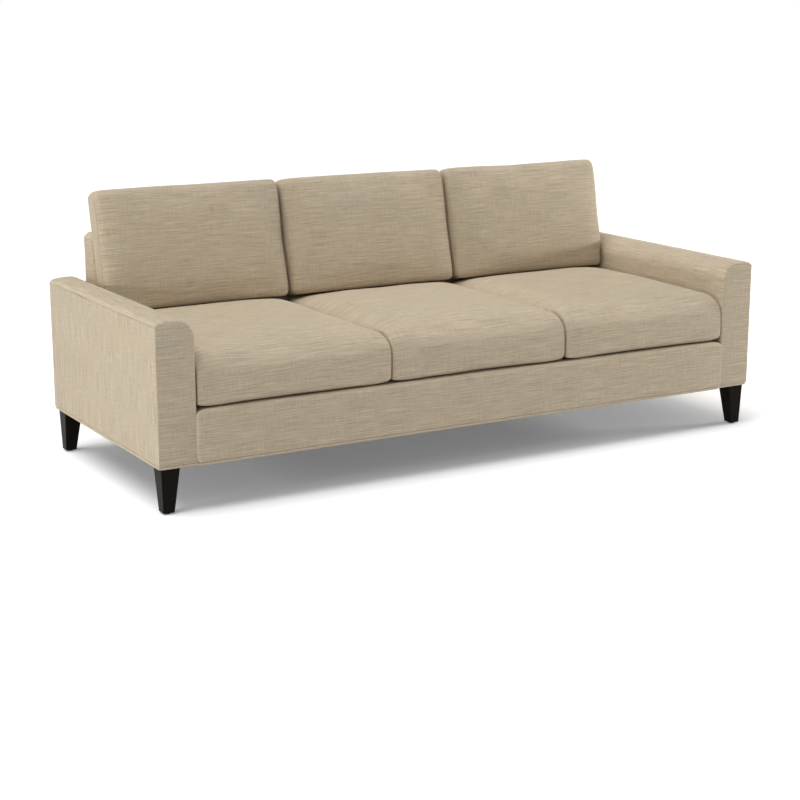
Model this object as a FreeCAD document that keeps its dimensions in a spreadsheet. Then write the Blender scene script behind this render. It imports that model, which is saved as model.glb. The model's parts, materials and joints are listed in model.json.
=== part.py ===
"""Three-seat square arm sofa: hardwood frame, woven webbing, padded covers and loose cushions.

Millimetres. X runs to the right of a viewer who faces the front, Y to the back and Z up. Left and
right are the viewer's. The origin is on the floor, under the middle of the sofa.
"""
import FreeCAD, Part
import math
import os
import re

import Sketcher

# Driving dimensions
SIZES = {
    "sofa_width": "2196",
    "sofa_depth": "880",
    "base_height": "140",
    "deck_height": "305",
    "arm_height": "571",
    "arm_width": "122",
    "back_height": "715",
    "back_depth": "68",
    "back_lean": "10.5",
    "padding": "14",
    "front_padding": "16",
    "panel_thickness": "6",
    "arm_inner_radius": "45",
    "arm_outer_radius": "12",
    "border_radius": "12",
    "border_lip": "60",
    "back_front_radius": "18",
    "back_rear_radius": "12",
    "back_side_radius": "10",
    "seam_drop": "15",
    "deck_pad_thickness": "10",
    "dust_cover_thickness": "1.5",
    "dust_cover_clearance": "1",
    "dust_cover_inset": "4",
    "welt_diameter": "8",
    "welt_proud": "2",
    "board_thickness": "28",
    "arm_top_board": "22",
    "tack_rail_thickness": "24",
    "tack_rail_height": "50",
    "rear_base_rail_height": "90",
    "stretcher_height": "80",
    "stretcher_spacing": "650",
    "back_post_width": "40",
    "inner_post_spacing": "650",
    "back_rail_thickness": "22",
    "back_rail_height": "60",
    "corner_block_depth": "100",
    "corner_block_height": "45",
    "strap_width": "70",
    "strap_thickness": "2",
    "strap_count": "12",
    "cross_strap_count": "4",
    "strap_margin": "40",
    "strap_grip": "24",
    "cross_strap_margin": "90",
    "leg_top_size": "60",
    "leg_foot_size": "36",
    "leg_inset": "9",
    "leg_rake": "5",
    "leg_edge_bevel": "2",
    "glide_diameter": "24",
    "glide_height": "4",
    "bolt_diameter": "8",
    "bolt_grip": "32",
    "nut_width": "14",
    "nut_height": "10",
    "fit_clearance": "0.1",
    "cushion_count": "3",
    "cushion_gap": "1.5",
    "rest_gap": "0.5",
    "cushion_wrap": "14",
    "seat_setback": "4",
    "seat_edge_height": "162",
    "seat_crown": "22",
    "seat_front_round": "50",
    "seat_side_round": "26",
    "seat_face_drop": "45",
    "seat_rest_round": "20",
    "seat_corner_radius": "30",
    "seat_draw_in": "4",
    "back_cushion_height": "392",
    "back_cushion_thickness": "80",
    "back_cushion_sink": "9",
    "back_crown": "34",
    "back_top_round": "26",
    "back_side_round": "22",
    "back_face_drop": "30",
    "back_rest_round": "12",
    "back_corner_radius": "30",
    "back_draw_in": "5",
    "crown_margin": "6",
}

# Places worked out from the driving dimensions
PLACES = {
    "arm_outer": "sofa_width / 2",
    "arm_inner": "arm_outer - arm_width",
    "frame_outer": "arm_outer - panel_thickness",
    "frame_inner": "arm_inner + padding",
    "front": "-sofa_depth / 2",
    "rear": "sofa_depth / 2",
    "frame_front": "front + front_padding",
    "frame_rear": "rear - front_padding",
    "post_front_back": "frame_front + board_thickness",
    "frame_bottom": "base_height + dust_cover_thickness",
    "cover_bottom": "base_height + welt_diameter",
    "deck_bottom": "deck_height - deck_pad_thickness",
    "rail_top": "deck_bottom - 2 * strap_thickness",
    "arm_frame_top": "arm_height - padding",
    "arm_frame_radius": "arm_inner_radius - padding",
    "arm_top_rail_bottom": "arm_frame_top - max(arm_top_board; arm_frame_radius + 2)",
    "arm_seam": "arm_height - seam_drop",
    "back_seam": "back_height - seam_drop",
    "back_frame_top": "back_height - padding",
    "back_slope": "tan(back_lean)",
    "back_top_front": "rear - back_depth",
    "back_bottom_front": "back_top_front - (back_height - deck_bottom) * back_slope",
    "back_skin": "padding / cos(back_lean)",
    "back_frame_front": "back_top_front - padding * back_slope + back_skin",
    "back_frame_bottom_front": "back_bottom_front + back_skin",
    "back_frame_side": "arm_inner - padding",
    "back_lower_front": "back_frame_bottom_front + back_rail_height * back_slope",
    "back_post_front": "back_lower_front + back_rail_thickness",
    "back_post_top": "back_frame_top - back_rail_thickness",
    "back_post_top_front": "back_frame_front - back_rail_thickness * back_slope",
    "back_post_knee": "back_post_top - (back_post_top_front - back_post_front) / back_slope",
    "block_rear": "frame_front + corner_block_depth",
    "block_top": "frame_bottom + corner_block_height",
    "leg_outer": "arm_outer - leg_inset",
    "leg_front": "front + leg_inset",
    "leg_middle_x": "leg_outer - leg_top_size / 2",
    "leg_middle_y": "leg_front + leg_top_size / 2",
    "bolt_bottom": "frame_bottom - bolt_grip",
    "nut_top": "frame_bottom + nut_height",
    "seat_width": "(2 * arm_inner - (cushion_count + 1) * cushion_gap) / cushion_count",
    "seat_front": "front + seat_setback",
    "seat_rear": "back_bottom_front - cushion_gap",
    "seat_length": "seat_rear - seat_front",
    "seat_bottom": "deck_height + rest_gap",
    "back_cushion_bottom": "seat_bottom + seat_edge_height - back_cushion_sink",
    "back_cushion_rear": "back_top_front - (back_height - back_cushion_bottom) * back_slope"
    " - rest_gap / cos(back_lean)",
}

document = FreeCAD.newDocument("SquareArmSofa")
nodes = []


def fill_sheet(name, cells):
    """Write one aliased cell for each entry; a text with a name in it becomes a formula."""
    sheet = document.addObject("Spreadsheet::Sheet", name)
    for row, (alias, text) in enumerate(cells.items(), start=1):
        sheet.set(f"A{row}", alias)
        sheet.set(f"B{row}", text)
        sheet.setAlias(f"B{row}", alias)
    return sheet


def linked(text):
    """The expression with each size and place written as a reference to its cell."""

    def reference(match):
        word = match.group(0)
        if word in SIZES:
            return f"Sizes.{word}"
        return f"Places.{word}" if word in PLACES else word

    return re.sub(r"[a-z][a-z_]*", reference, text)


sizes = fill_sheet("Sizes", SIZES)
places = fill_sheet("Places", {alias: f"={linked(text)}" for alias, text in PLACES.items()})
document.recompute()


def size(text):
    """The number that a size, a place or an expression of them comes to."""
    return float(sizes.evalExpression(linked(text)))


def bind(piece, path, text):
    piece.setExpression(path, linked(text))


def node(piece, name):
    """Keep a piece as a sub-part of its own under its name."""
    piece.Label = name
    nodes.append(piece)
    return piece


# Two places count as the same within this distance
SAME = 0.01


# Makers of the shapes that the sub-parts share


def board(name, x, y, z):
    """A straight board between two places on each axis."""
    box = document.addObject("Part::Box", name)
    for path, axis, (low, high) in (("Length", "x", x), ("Width", "y", y), ("Height", "z", z)):
        bind(box, path, f"({high}) - ({low})")
        bind(box, f"Placement.Base.{axis}", low)
    return box


def plane_of(body, role):
    return next(plane for plane in body.Origin.OriginFeatures if plane.Role == role)


def outline_sketch(body, name, role, corners, offset):
    """A closed outline of straight sides whose corners are bound to the sheets."""
    sketch = body.newObject("Sketcher::SketchObject", name)
    sketch.AttachmentSupport = [(plane_of(body, role), "")]
    sketch.MapMode = "FlatFace"
    bind(sketch, "AttachmentOffset.Base.z", offset)
    count = len(corners)
    for index in range(count):
        # A rough ring of corners: the constraints below move each one to its place
        start, end = (
            FreeCAD.Vector(math.cos(turn), math.sin(turn), 0)
            for turn in (2 * math.pi * index / count, 2 * math.pi * (index + 1) / count)
        )
        sketch.addGeometry(Part.LineSegment(start, end), False)
    for index in range(count):
        sketch.addConstraint(Sketcher.Constraint("Coincident", index, 2, (index + 1) % count, 1))
    for index, (across, up) in enumerate(corners):
        for label, kind, text in (("across", "DistanceX", across), ("up", "DistanceY", up)):
            constraint = f"{label}{index}"
            number = sketch.addConstraint(Sketcher.Constraint(kind, index, 1, 1.0))
            sketch.renameConstraint(number, constraint)
            bind(sketch, f"Constraints.{constraint}", text)
    return sketch


def prism(body, name, role, corners, start, end):
    """Pad an outline from one place to another along the normal of an origin plane."""
    runs_backwards = role == "XZ_Plane"
    offset = f"-({start})" if runs_backwards else start
    sketch = outline_sketch(body, f"{name}_outline", role, corners, offset)
    pad = body.newObject("PartDesign::Pad", f"{name}_pad")
    pad.Profile = sketch
    pad.Reversed = runs_backwards
    bind(pad, "Length", f"({end}) - ({start})")
    document.recompute()
    return pad


def new_body(name):
    return document.addObject("PartDesign::Body", name)


def edges_near(feature, test):
    """The names of a feature's edges whose middle point passes the test."""
    found = []
    for number, edge in enumerate(feature.Shape.Edges, start=1):
        middle = edge.valueAt((edge.FirstParameter + edge.LastParameter) / 2)
        if test(middle):
            found.append(f"Edge{number}")
    return found


def rounded(body, name, test, radius):
    """Fillet the edges of a body's tip whose middle passes the test."""
    tip = body.Tip
    fillet = body.newObject("PartDesign::Fillet", name)
    fillet.Base = (tip, edges_near(tip, test))
    bind(fillet, "Radius", radius)
    document.recompute()
    return fillet


def close_to(value, place):
    return abs(value - size(place)) < SAME


def mirrored(source, name, axis="x"):
    """The same piece on the other side of the sofa's middle plane."""
    copy = document.addObject("Part::Mirroring", name)
    copy.Source = source
    copy.Normal = FreeCAD.Vector(1, 0, 0) if axis == "x" else FreeCAD.Vector(0, 1, 0)
    return copy


def both_sides(left):
    """Keep a left-hand piece and its right-hand twin as sub-parts."""
    name = left.Name
    node(left, name)
    node(mirrored(left, name.replace("left", "right")), name.replace("left", "right"))


def at_four_corners(front_left, name):
    """One piece at each corner of the base, made by mirroring the front left one."""
    rear_left = mirrored(front_left, f"{name}_rear_left", "y")
    front_right = mirrored(front_left, f"{name}_front_right", "x")
    rear_right = mirrored(rear_left, f"{name}_rear_right", "x")
    return [front_left, front_right, rear_left, rear_right]


def group(name, members):
    together = document.addObject("Part::Compound", name)
    together.Links = members
    return node(together, name)


def joined(kind, name, base, tool):
    result = document.addObject(kind, name)
    result.Base = base
    result.Tool = tool
    return result


def cut(name, base, tool):
    return joined("Part::Cut", name, base, tool)


def fuse(name, base, tool):
    return joined("Part::Fuse", name, base, tool)


def made_of(name, shape, placement=None):
    """A piece whose shape is worked out here from the sheets."""
    piece = document.addObject("Part::Feature", name)
    piece.Shape = shape
    if placement:
        piece.Placement = placement
    return piece


# Base frame: rails, stretchers and the blocks that the legs screw into


def base_frame():
    level = ("frame_bottom", "rail_top")
    between_arms = ("-frame_inner", "frame_inner")
    node(board("front_seat_rail", between_arms, ("frame_front", "post_front_back"), level),
         "front_seat_rail")
    rear_seat = ("back_post_front - board_thickness", "back_post_front")
    node(board("rear_seat_rail", between_arms, rear_seat, level), "rear_seat_rail")
    node(board("rear_base_rail", between_arms, ("frame_rear - board_thickness", "frame_rear"),
               ("frame_bottom", "frame_bottom + rear_base_rail_height")), "rear_base_rail")
    both_sides(board("left_side_rail", ("-frame_outer", "-(frame_outer - board_thickness)"),
                     ("block_rear", "-block_rear"), level))
    stretchers = []
    for name, middle in (("left", "-stretcher_spacing / 2"), ("right", "stretcher_spacing / 2")):
        sides = (f"{middle} - board_thickness / 2", f"{middle} + board_thickness / 2")
        ends = ("post_front_back", "back_post_front - board_thickness")
        heights = ("frame_bottom", "frame_bottom + stretcher_height")
        stretchers.append(board(f"{name}_stretcher", sides, ends, heights))
    group("seat_stretchers", stretchers)


def corner_blocks():
    """Blocks with a square pocket underneath for the nut that takes the leg's bolt."""
    block = board("corner_block", ("-frame_outer", "-frame_inner"), ("frame_front", "block_rear"),
                  ("frame_bottom", "block_top"))
    pocket = nut_blank("nut_pocket", "nut_width / 2 + fit_clearance")
    group("corner_blocks", at_four_corners(cut("pocketed_corner_block", block, pocket), "corner_block"))


def nut_blank(name, half_width):
    """A square block on the front left leg's bolt line, as high as the nut."""
    return board(name, (f"-leg_middle_x - ({half_width})", f"-leg_middle_x + ({half_width})"),
                 (f"leg_middle_y - ({half_width})", f"leg_middle_y + ({half_width})"),
                 ("frame_bottom", "nut_top"))


def leg_cylinder(name, radius, bottom, top):
    """An upright cylinder on the front left leg's bolt line."""
    cylinder = document.addObject("Part::Cylinder", name)
    bind(cylinder, "Radius", radius)
    bind(cylinder, "Height", f"({top}) - ({bottom})")
    bind(cylinder, "Placement.Base.x", "-leg_middle_x")
    bind(cylinder, "Placement.Base.y", "leg_middle_y")
    bind(cylinder, "Placement.Base.z", bottom)
    return cylinder


# Arm frames


def arm_outline(outer, inner, top, bottom):
    """The upright section of an arm, from the outer foot round to the inner foot."""
    left, right = f"-({outer})", f"-({inner})"
    return [(left, bottom), (left, top), (right, top), (right, bottom)]


def arm_frames():
    outline = arm_outline("frame_outer", "frame_inner", "arm_frame_top", "block_top")
    inner_top = at_corner("frame_inner", "arm_frame_top")
    for name, start, end in (("left_front_arm_post", "frame_front", "post_front_back"),
                             ("left_rear_arm_post", "-post_front_back", "frame_rear")):
        post = new_body(name)
        prism(post, name, "XZ_Plane", outline, start, end)
        rounded(post, f"{name}_round", inner_top, "arm_frame_radius")
        both_sides(post)
    top_rail = new_body("left_arm_top_rail")
    shelf = arm_outline("frame_outer", "frame_inner", "arm_frame_top", "arm_top_rail_bottom")
    prism(top_rail, "left_arm_top_rail", "XZ_Plane", shelf, "post_front_back", "-post_front_back")
    rounded(top_rail, "left_arm_top_rail_round", inner_top, "arm_frame_radius")
    both_sides(top_rail)
    both_sides(board("left_arm_tack_rail", ("-(frame_inner + tack_rail_thickness)", "-frame_inner"),
                     ("post_front_back", "-post_front_back"),
                     ("deck_bottom", "deck_bottom + tack_rail_height")))


def at_corner(side, top):
    """A test for the lengthwise edge at a corner of an arm's section."""
    return lambda point: close_to(-point.x, side) and close_to(point.z, top)


# Back frame


def back_frame():
    rail_y = ("back_frame_front", "frame_rear")
    across = ("-back_frame_side", "back_frame_side")
    node(board("back_top_rail", across, rail_y, ("back_post_top", "back_frame_top")), "back_top_rail")
    node(board("back_lower_rail", across, ("back_lower_front", "back_post_front"),
               ("deck_bottom", "deck_bottom + back_rail_height")), "back_lower_rail")
    rail_front = "frame_rear - board_thickness"
    notch = "frame_bottom + rear_base_rail_height"
    outline = [("back_post_front", "frame_bottom"), (rail_front, "frame_bottom"), (rail_front, notch),
               ("frame_rear", notch), ("frame_rear", "back_post_top"),
               ("back_post_top_front", "back_post_top"), ("back_post_front", "back_post_knee")]
    posts = []
    for name, middle in (("outer", "back_frame_side - back_post_width / 2"),
                         ("inner", "inner_post_spacing / 2")):
        post = new_body(f"left_{name}_back_post")
        prism(post, f"left_{name}_back_post", "YZ_Plane", outline,
              f"-({middle}) - back_post_width / 2", f"-({middle}) + back_post_width / 2")
        posts += [post, mirrored(post, f"right_{name}_back_post")]
    group("back_posts", posts)


# Suspension: straps over the seat rails, woven with cross straps


def spread(count, first, last):
    return [first + (last - first) * index / (count - 1) for index in range(count)]


def strap_middles():
    reach = size("back_frame_side") - size("strap_margin")
    return spread(int(size("strap_count")), -reach, reach)


def seat_webbing():
    width, thickness = size("strap_width"), size("strap_thickness")
    start = size("post_front_back") - size("strap_grip")
    end = size("back_post_front") - size("board_thickness") + size("strap_grip")
    straps = [
        Part.makeBox(width, end - start, thickness,
                     FreeCAD.Vector(middle - width / 2, start, size("rail_top")))
        for middle in strap_middles()
    ]
    node(made_of("seat_webbing", Part.makeCompound(straps)), "seat_webbing")


def cross_webbing():
    """Straps from side to side that pass over one long strap and under the next."""
    thickness, half = size("strap_thickness"), size("strap_width") / 2
    middle_level = size("rail_top")
    rail_grip = size("frame_outer") - size("board_thickness") + size("strap_grip")
    rail_edge = size("frame_outer") - size("board_thickness")
    easing = thickness
    lines = spread(int(size("cross_strap_count")),
                   size("post_front_back") + size("cross_strap_margin"),
                   size("back_post_front") - size("board_thickness") - size("cross_strap_margin"))
    straps = []
    for row, line in enumerate(lines):
        path = [(-rail_grip, middle_level), (-rail_edge + easing, middle_level)]
        for column, middle in enumerate(strap_middles()):
            level = middle_level + (thickness if (row + column) % 2 else -thickness)
            path += [(middle - half - easing, level), (middle + half + easing, level)]
        path += [(rail_edge - easing, middle_level), (rail_grip, middle_level)]
        under = [FreeCAD.Vector(x, line - half, z) for x, z in path]
        over = [point + FreeCAD.Vector(0, 0, thickness) for point in reversed(under)]
        face = Part.Face(Part.makePolygon(under + over + under[:1]))
        straps.append(face.extrude(FreeCAD.Vector(0, 2 * half, 0)))
    node(made_of("cross_webbing", Part.makeCompound(straps)), "cross_webbing")


# Covers: padded fabric over the frame


def arm_covers():
    """The inside arm runs from the deck over the top to the outside seam, and closes the rear end."""
    crown = [("-frame_outer", "arm_seam"), ("-arm_outer", "arm_seam"), ("-arm_outer", "arm_height"),
             ("-arm_inner", "arm_height")]
    cover = new_body("left_inside_arm_cover")
    hook = crown + [("-arm_inner", "deck_bottom"), ("-frame_inner", "deck_bottom"),
                    ("-frame_inner", "arm_frame_top"), ("-frame_outer", "arm_frame_top")]
    prism(cover, "inside_arm", "XZ_Plane", hook, "frame_front", "frame_rear")
    wall = [("-frame_outer", "cover_bottom")] + crown + [("-arm_inner", "cover_bottom")]
    prism(cover, "arm_rear_wall", "XZ_Plane", wall, "frame_rear", "rear")
    rounded(cover, "inside_arm_round", at_corner("arm_inner", "arm_height"), "arm_inner_radius")
    rounded(cover, "outer_arm_round", at_corner("arm_outer", "arm_height"), "arm_outer_radius")
    rounded(cover, "lining_round", at_corner("frame_inner", "arm_frame_top"), "arm_frame_radius")
    both_sides(cover)

    panel = new_body("left_arm_front_panel")
    front_outline = arm_outline("arm_outer", "arm_inner", "arm_height", "cover_bottom")
    prism(panel, "arm_front", "XZ_Plane", front_outline, "front", "frame_front")
    rounded(panel, "arm_front_inner_round", at_corner("arm_inner", "arm_height"), "arm_inner_radius")
    rounded(panel, "arm_front_outer_round", at_corner("arm_outer", "arm_height"), "arm_outer_radius")
    both_sides(panel)
    both_sides(board("left_outside_arm_panel", ("-arm_outer", "-frame_outer"), ("frame_front", "rear"),
                     ("cover_bottom", "arm_seam")))


def front_border():
    """The front rail's cover, folded back over the rail as a lip that meets the deck."""
    border = new_body("front_border")
    lip = "front + border_lip"
    section = [("front", "cover_bottom"), ("front", "deck_height"), (lip, "deck_height"),
               (lip, "deck_bottom"), ("frame_front", "deck_bottom"), ("frame_front", "cover_bottom")]
    prism(border, "front_border", "YZ_Plane", section, "-arm_inner", "arm_inner")
    rounded(border, "front_border_round",
            lambda point: close_to(point.y, "front") and close_to(point.z, "deck_height"), "border_radius")
    node(border, "front_border")


def back_covers():
    """The inside back is pitched for the cushions and rolls over the top to a seam behind."""
    cover = new_body("inside_back_cover")
    face = [("back_bottom_front", "deck_bottom"), ("back_top_front", "back_height"),
            ("rear", "back_height"), ("rear", "back_seam"), ("frame_rear", "back_seam")]
    shell = face + [("frame_rear", "back_frame_top"), ("back_frame_front", "back_frame_top"),
                    ("back_frame_bottom_front", "deck_bottom")]
    prism(cover, "inside_back", "YZ_Plane", shell, "-back_frame_side", "back_frame_side")
    side = face + [("frame_rear", "deck_bottom")]
    prism(cover, "left_back_side", "YZ_Plane", side, "-arm_inner", "-back_frame_side")
    prism(cover, "right_back_side", "YZ_Plane", side, "back_frame_side", "arm_inner")
    rounded(cover, "back_front_round", on_back_top("back_top_front"), "back_front_radius")
    rounded(cover, "back_rear_round", on_back_top("rear"), "min(back_rear_radius; seam_drop - 1)")
    rounded(cover, "back_side_round",
            lambda point: close_to(abs(point.x), "arm_inner") and point.z > size("back_seam") + 1,
            "back_side_radius")
    node(cover, "inside_back_cover")
    node(board("outside_back_panel", ("-arm_inner", "arm_inner"), ("frame_rear", "rear"),
               ("cover_bottom", "back_seam")), "outside_back_panel")


def on_back_top(place):
    """A test for the edge along the top of the back at a place from front to rear."""
    return lambda point: close_to(point.y, place) and close_to(point.z, "back_height")


def base_covers():
    node(board("deck_pad", ("-arm_inner", "arm_inner"), ("front + border_lip", "back_bottom_front"),
               ("deck_bottom", "deck_height")), "deck_pad")
    side, end = "frame_outer - dust_cover_inset", "rear - panel_thickness - dust_cover_inset"
    sheet = board("dust_cover_sheet", (f"-({side})", side), (f"-({end})", end),
                  ("base_height", "frame_bottom"))
    room = "leg_top_size + dust_cover_clearance"
    hole = board("dust_cover_hole", ("-leg_outer - dust_cover_clearance", f"-leg_outer + {room}"),
                 ("leg_front - dust_cover_clearance", f"leg_front + {room}"), ("base_height", "frame_bottom"))
    holes = document.addObject("Part::Compound", "dust_cover_holes")
    holes.Links = at_four_corners(hole, "dust_cover_hole")
    node(cut("dust_cover", sheet, holes), "dust_cover")


def base_welt():
    """A piped cord, sewn round the bottom edge of the covers as one ring with mitred corners."""
    radius = size("welt_diameter / 2")
    x, y = size("arm_outer + welt_proud") - radius, size("rear + welt_proud") - radius
    level = size("base_height") + radius
    start = FreeCAD.Vector(0, -y, level)
    corners = [FreeCAD.Vector(*corner, level) for corner in ((x, -y), (x, y), (-x, y), (-x, -y))]
    ring = Part.makePolygon([start, *corners, start])
    cord = Part.Wire(Part.makeCircle(radius, start, FreeCAD.Vector(1, 0, 0)))
    mitred = 1
    node(made_of("base_welt", ring.makePipeShell([cord], True, False, mitred)), "base_welt")


# Legs and their fastenings


def legs():
    """Tapered square legs: the two inner faces slope more than the two outer ones."""
    leg = new_body("leg_blank")
    taper = leg.newObject("PartDesign::AdditiveWedge", "leg_taper")
    # The wedge grows along its own Y, which is turned to point up; its own Z then points to the front
    taper.Placement.Rotation = FreeCAD.Rotation(FreeCAD.Vector(1, 0, 0), 90)
    foot_outer, foot_front = "-leg_outer + leg_rake", "leg_front + leg_rake"
    for path, place in (("Ymin", "glide_height"), ("Ymax", "frame_bottom"),
                        ("Xmin", foot_outer), ("Xmax", f"{foot_outer} + leg_foot_size"),
                        ("Zmin", f"-({foot_front} + leg_foot_size)"), ("Zmax", f"-({foot_front})"),
                        ("X2min", "-leg_outer"), ("X2max", "-leg_outer + leg_top_size"),
                        ("Z2min", "-(leg_front + leg_top_size)"), ("Z2max", "-leg_front")):
        bind(taper, path, place)
    document.recompute()
    eased = leg.newObject("PartDesign::Chamfer", "leg_eased_edges")
    eased.Base = (taper, edges_near(taper, lambda point: point.z < size("frame_bottom") - SAME))
    bind(eased, "Size", "leg_edge_bevel")
    bore = leg_cylinder("leg_bore", "bolt_diameter / 2 + fit_clearance", "bolt_bottom", "frame_bottom")
    bored = cut("bored_leg", leg, bore)
    for piece, name in zip(at_four_corners(bored, "leg"), ("front_left_leg", "front_right_leg",
                                                           "rear_left_leg", "rear_right_leg")):
        node(piece, name)


def leg_fastenings():
    bolt = leg_cylinder("leg_bolt", "bolt_diameter / 2", "bolt_bottom", "nut_top")
    group("leg_hanger_bolts", at_four_corners(bolt, "leg_bolt"))
    thread = leg_cylinder("nut_thread", "bolt_diameter / 2 + fit_clearance", "frame_bottom", "nut_top")
    nut = cut("leg_nut", nut_blank("square_nut", "nut_width / 2"), thread)
    group("leg_square_nuts", at_four_corners(nut, "leg_nut"))
    glide = document.addObject("Part::Cone", "glide")
    bind(glide, "Radius1", "glide_diameter / 2 - glide_height / 2")
    bind(glide, "Radius2", "glide_diameter / 2")
    bind(glide, "Height", "glide_height")
    bind(glide, "Placement.Base.x", "-(leg_outer - leg_rake - leg_foot_size / 2)")
    bind(glide, "Placement.Base.y", "leg_front + leg_rake + leg_foot_size / 2")
    group("leg_glides", at_four_corners(glide, "glide"))


# Loose cushions

# The levels of a cushion's rounded edges, as turns of a quarter circle
REST_TURNS = (0, math.pi / 2)
FACE_TURNS = (0, math.pi / 6, math.pi / 3, math.pi / 2)


def cushion_section(width, near, far, corner, draw_in, height):
    """One level of a cushion: a straight zip side, and three sides drawn in between round corners."""
    half = width / 2
    knuckle = corner * (1 - math.sqrt(0.5))

    def at(x, y):
        return FreeCAD.Vector(x, y, height)

    def bow(start, middle, end):
        return Part.Arc(at(*start), at(*middle), at(*end)).toShape()

    return Part.Wire([
        Part.LineSegment(at(corner - half, near), at(half - corner, near)).toShape(),
        bow((half - corner, near), (half - knuckle, near + knuckle), (half, near + corner)),
        bow((half, near + corner), (half - draw_in, (near + far) / 2), (half, far - corner)),
        bow((half, far - corner), (half - knuckle, far - knuckle), (half - corner, far)),
        bow((half - corner, far), (0, far - draw_in), (corner - half, far)),
        bow((corner - half, far), (knuckle - half, far - knuckle), (-half, far - corner)),
        bow((-half, far - corner), (draw_in - half, (near + far) / 2), (-half, near + corner)),
        bow((-half, near + corner), (knuckle - half, near + knuckle), (corner - half, near)),
    ])


def boxed_form(kind, width, length, edge, far_round):
    """A loft from the resting face, up the boxing and over the rounded edge to the flat of the face."""
    rest, side, drop = (size(f"{kind}_{name}") for name in ("rest_round", "side_round", "face_drop"))
    corner, draw_in = size(f"{kind}_corner_radius"), size(f"{kind}_draw_in")
    levels = []
    for turn in REST_TURNS:
        inset = rest * (1 - math.sin(turn))
        levels.append((rest * (1 - math.cos(turn)), inset, inset))
    for turn in FACE_TURNS:
        share = 1 - math.cos(turn)
        levels.append((edge - drop + drop * math.sin(turn), side * share, far_round * share))
    sections = [cushion_section(width - 2 * inset, inset, length - far_inset, corner, draw_in, height)
                for height, inset, far_inset in levels]
    return Part.makeLoft(sections, True, True)


def crown_dome(reach, stretch, rise):
    """A low dome, round at both ends and drawn out along X between them, that stands on z = 0."""
    radius = (reach ** 2 + rise ** 2) / (2 * rise)
    middle = rise - radius
    bend = radius * math.sqrt(0.5)
    ends = [FreeCAD.Vector(-stretch - radius, 0, middle), FreeCAD.Vector(stretch + radius, 0, middle)]
    tops = [FreeCAD.Vector(-stretch, radius, middle), FreeCAD.Vector(stretch, radius, middle)]
    profile = Part.Wire([
        Part.Arc(ends[0], FreeCAD.Vector(-stretch - bend, bend, middle), tops[0]).toShape(),
        Part.LineSegment(tops[0], tops[1]).toShape(),
        Part.Arc(tops[1], FreeCAD.Vector(stretch + bend, bend, middle), ends[1]).toShape(),
        Part.LineSegment(ends[1], ends[0]).toShape(),
    ])
    half_turn = 180
    capsule = Part.Face(profile).revolve(ends[0], FreeCAD.Vector(1, 0, 0), half_turn)
    # The dome reaches a little way into the form that it is joined to
    root = 1
    slice_size = FreeCAD.Vector(2 * (stretch + reach) + 2 * root, 2 * reach + 2 * root, rise + 2 * root)
    start = FreeCAD.Vector(-slice_size.x / 2, -slice_size.y / 2, -root)
    return capsule.common(Part.makeBox(slice_size.x, slice_size.y, slice_size.z, start))


def crowned_form(kind, width, length, edge, far_round):
    """The whole outside of a cushion, with the crown standing on the flat of its face."""
    side, draw_in = size(f"{kind}_side_round"), size(f"{kind}_draw_in")
    bare = draw_in + size("crown_margin")
    across, along = width / 2 - side - bare, (length - side - far_round) / 2 - bare
    dome = crown_dome(min(across, along), max(across, along) - min(across, along), size(f"{kind}_crown"))
    if along > across:
        dome.rotate(FreeCAD.Vector(), FreeCAD.Vector(0, 0, 1), 90)
    dome.translate(FreeCAD.Vector(0, (side + length - far_round) / 2, edge))
    return boxed_form(kind, width, length, edge, far_round).fuse(dome)


def cushion_box(name, half_width, run, top, placement):
    """A block inside a cushion, from one place to another away from the zip side."""
    near, far = run
    box = document.addObject("Part::Box", name)
    bind(box, "Length", f"2 * ({half_width})")
    bind(box, "Width", f"({far}) - ({near})")
    bind(box, "Height", f"({top}) - cushion_wrap")
    corner = FreeCAD.Vector(-size(half_width), size(near), size("cushion_wrap"))
    box.Placement = placement.multiply(FreeCAD.Placement(corner, FreeCAD.Rotation()))
    return box


def cushion(name, form, half_width, far, top, placement):
    """A padded cover open at its zip side, the foam core inside it and the zip panel that closes it."""
    whole = made_of(f"{name}_form", form, placement)
    cavity = cushion_box(f"{name}_cavity", half_width, ("0", far), top, placement)
    node(cut(f"{name}_cover", whole, cavity), f"{name}_cover")
    for piece, run in (("core", ("cushion_wrap", far)), ("zip_panel", ("0", "cushion_wrap"))):
        node(cushion_box(f"{name}_{piece}", half_width, run, top, placement), f"{name}_{piece}")


def cushion_middles():
    step = size("seat_width + cushion_gap")
    return {"left": -step, "centre": 0.0, "right": step}


def seat_cushions():
    form = crowned_form("seat", size("seat_width"), size("seat_length"), size("seat_edge_height"),
                        size("seat_front_round"))
    facing_front = FreeCAD.Rotation(FreeCAD.Vector(0, 0, 1), 180)
    for side, middle in cushion_middles().items():
        place = FreeCAD.Vector(middle, size("seat_rear"), size("seat_bottom"))
        cushion(f"{side}_seat_cushion", form.copy(), "seat_width / 2 - cushion_wrap - seat_draw_in",
                "seat_length - cushion_wrap - 2 * seat_draw_in", "seat_edge_height - cushion_wrap",
                FreeCAD.Placement(place, facing_front))


def back_cushions():
    form = crowned_form("back", size("seat_width"), size("back_cushion_height"),
                        size("back_cushion_thickness"), size("back_top_round"))
    leaning = FreeCAD.Rotation(FreeCAD.Vector(1, 0, 0), 90 - size("back_lean"))
    for side, middle in cushion_middles().items():
        place = FreeCAD.Vector(middle, size("back_cushion_rear"), size("back_cushion_bottom"))
        cushion(f"{side}_back_cushion", form.copy(), "seat_width / 2 - cushion_wrap - back_draw_in",
                "back_cushion_height - cushion_wrap - back_draw_in",
                "back_cushion_thickness - cushion_wrap", FreeCAD.Placement(place, leaning))


def checked(piece):
    """The piece's shape, once its object and everything it is made from came out sound."""
    shape = piece.Shape
    if shape.isNull() or not shape.isValid():
        raise RuntimeError(f"{piece.Label} has no valid shape")
    return shape


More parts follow.
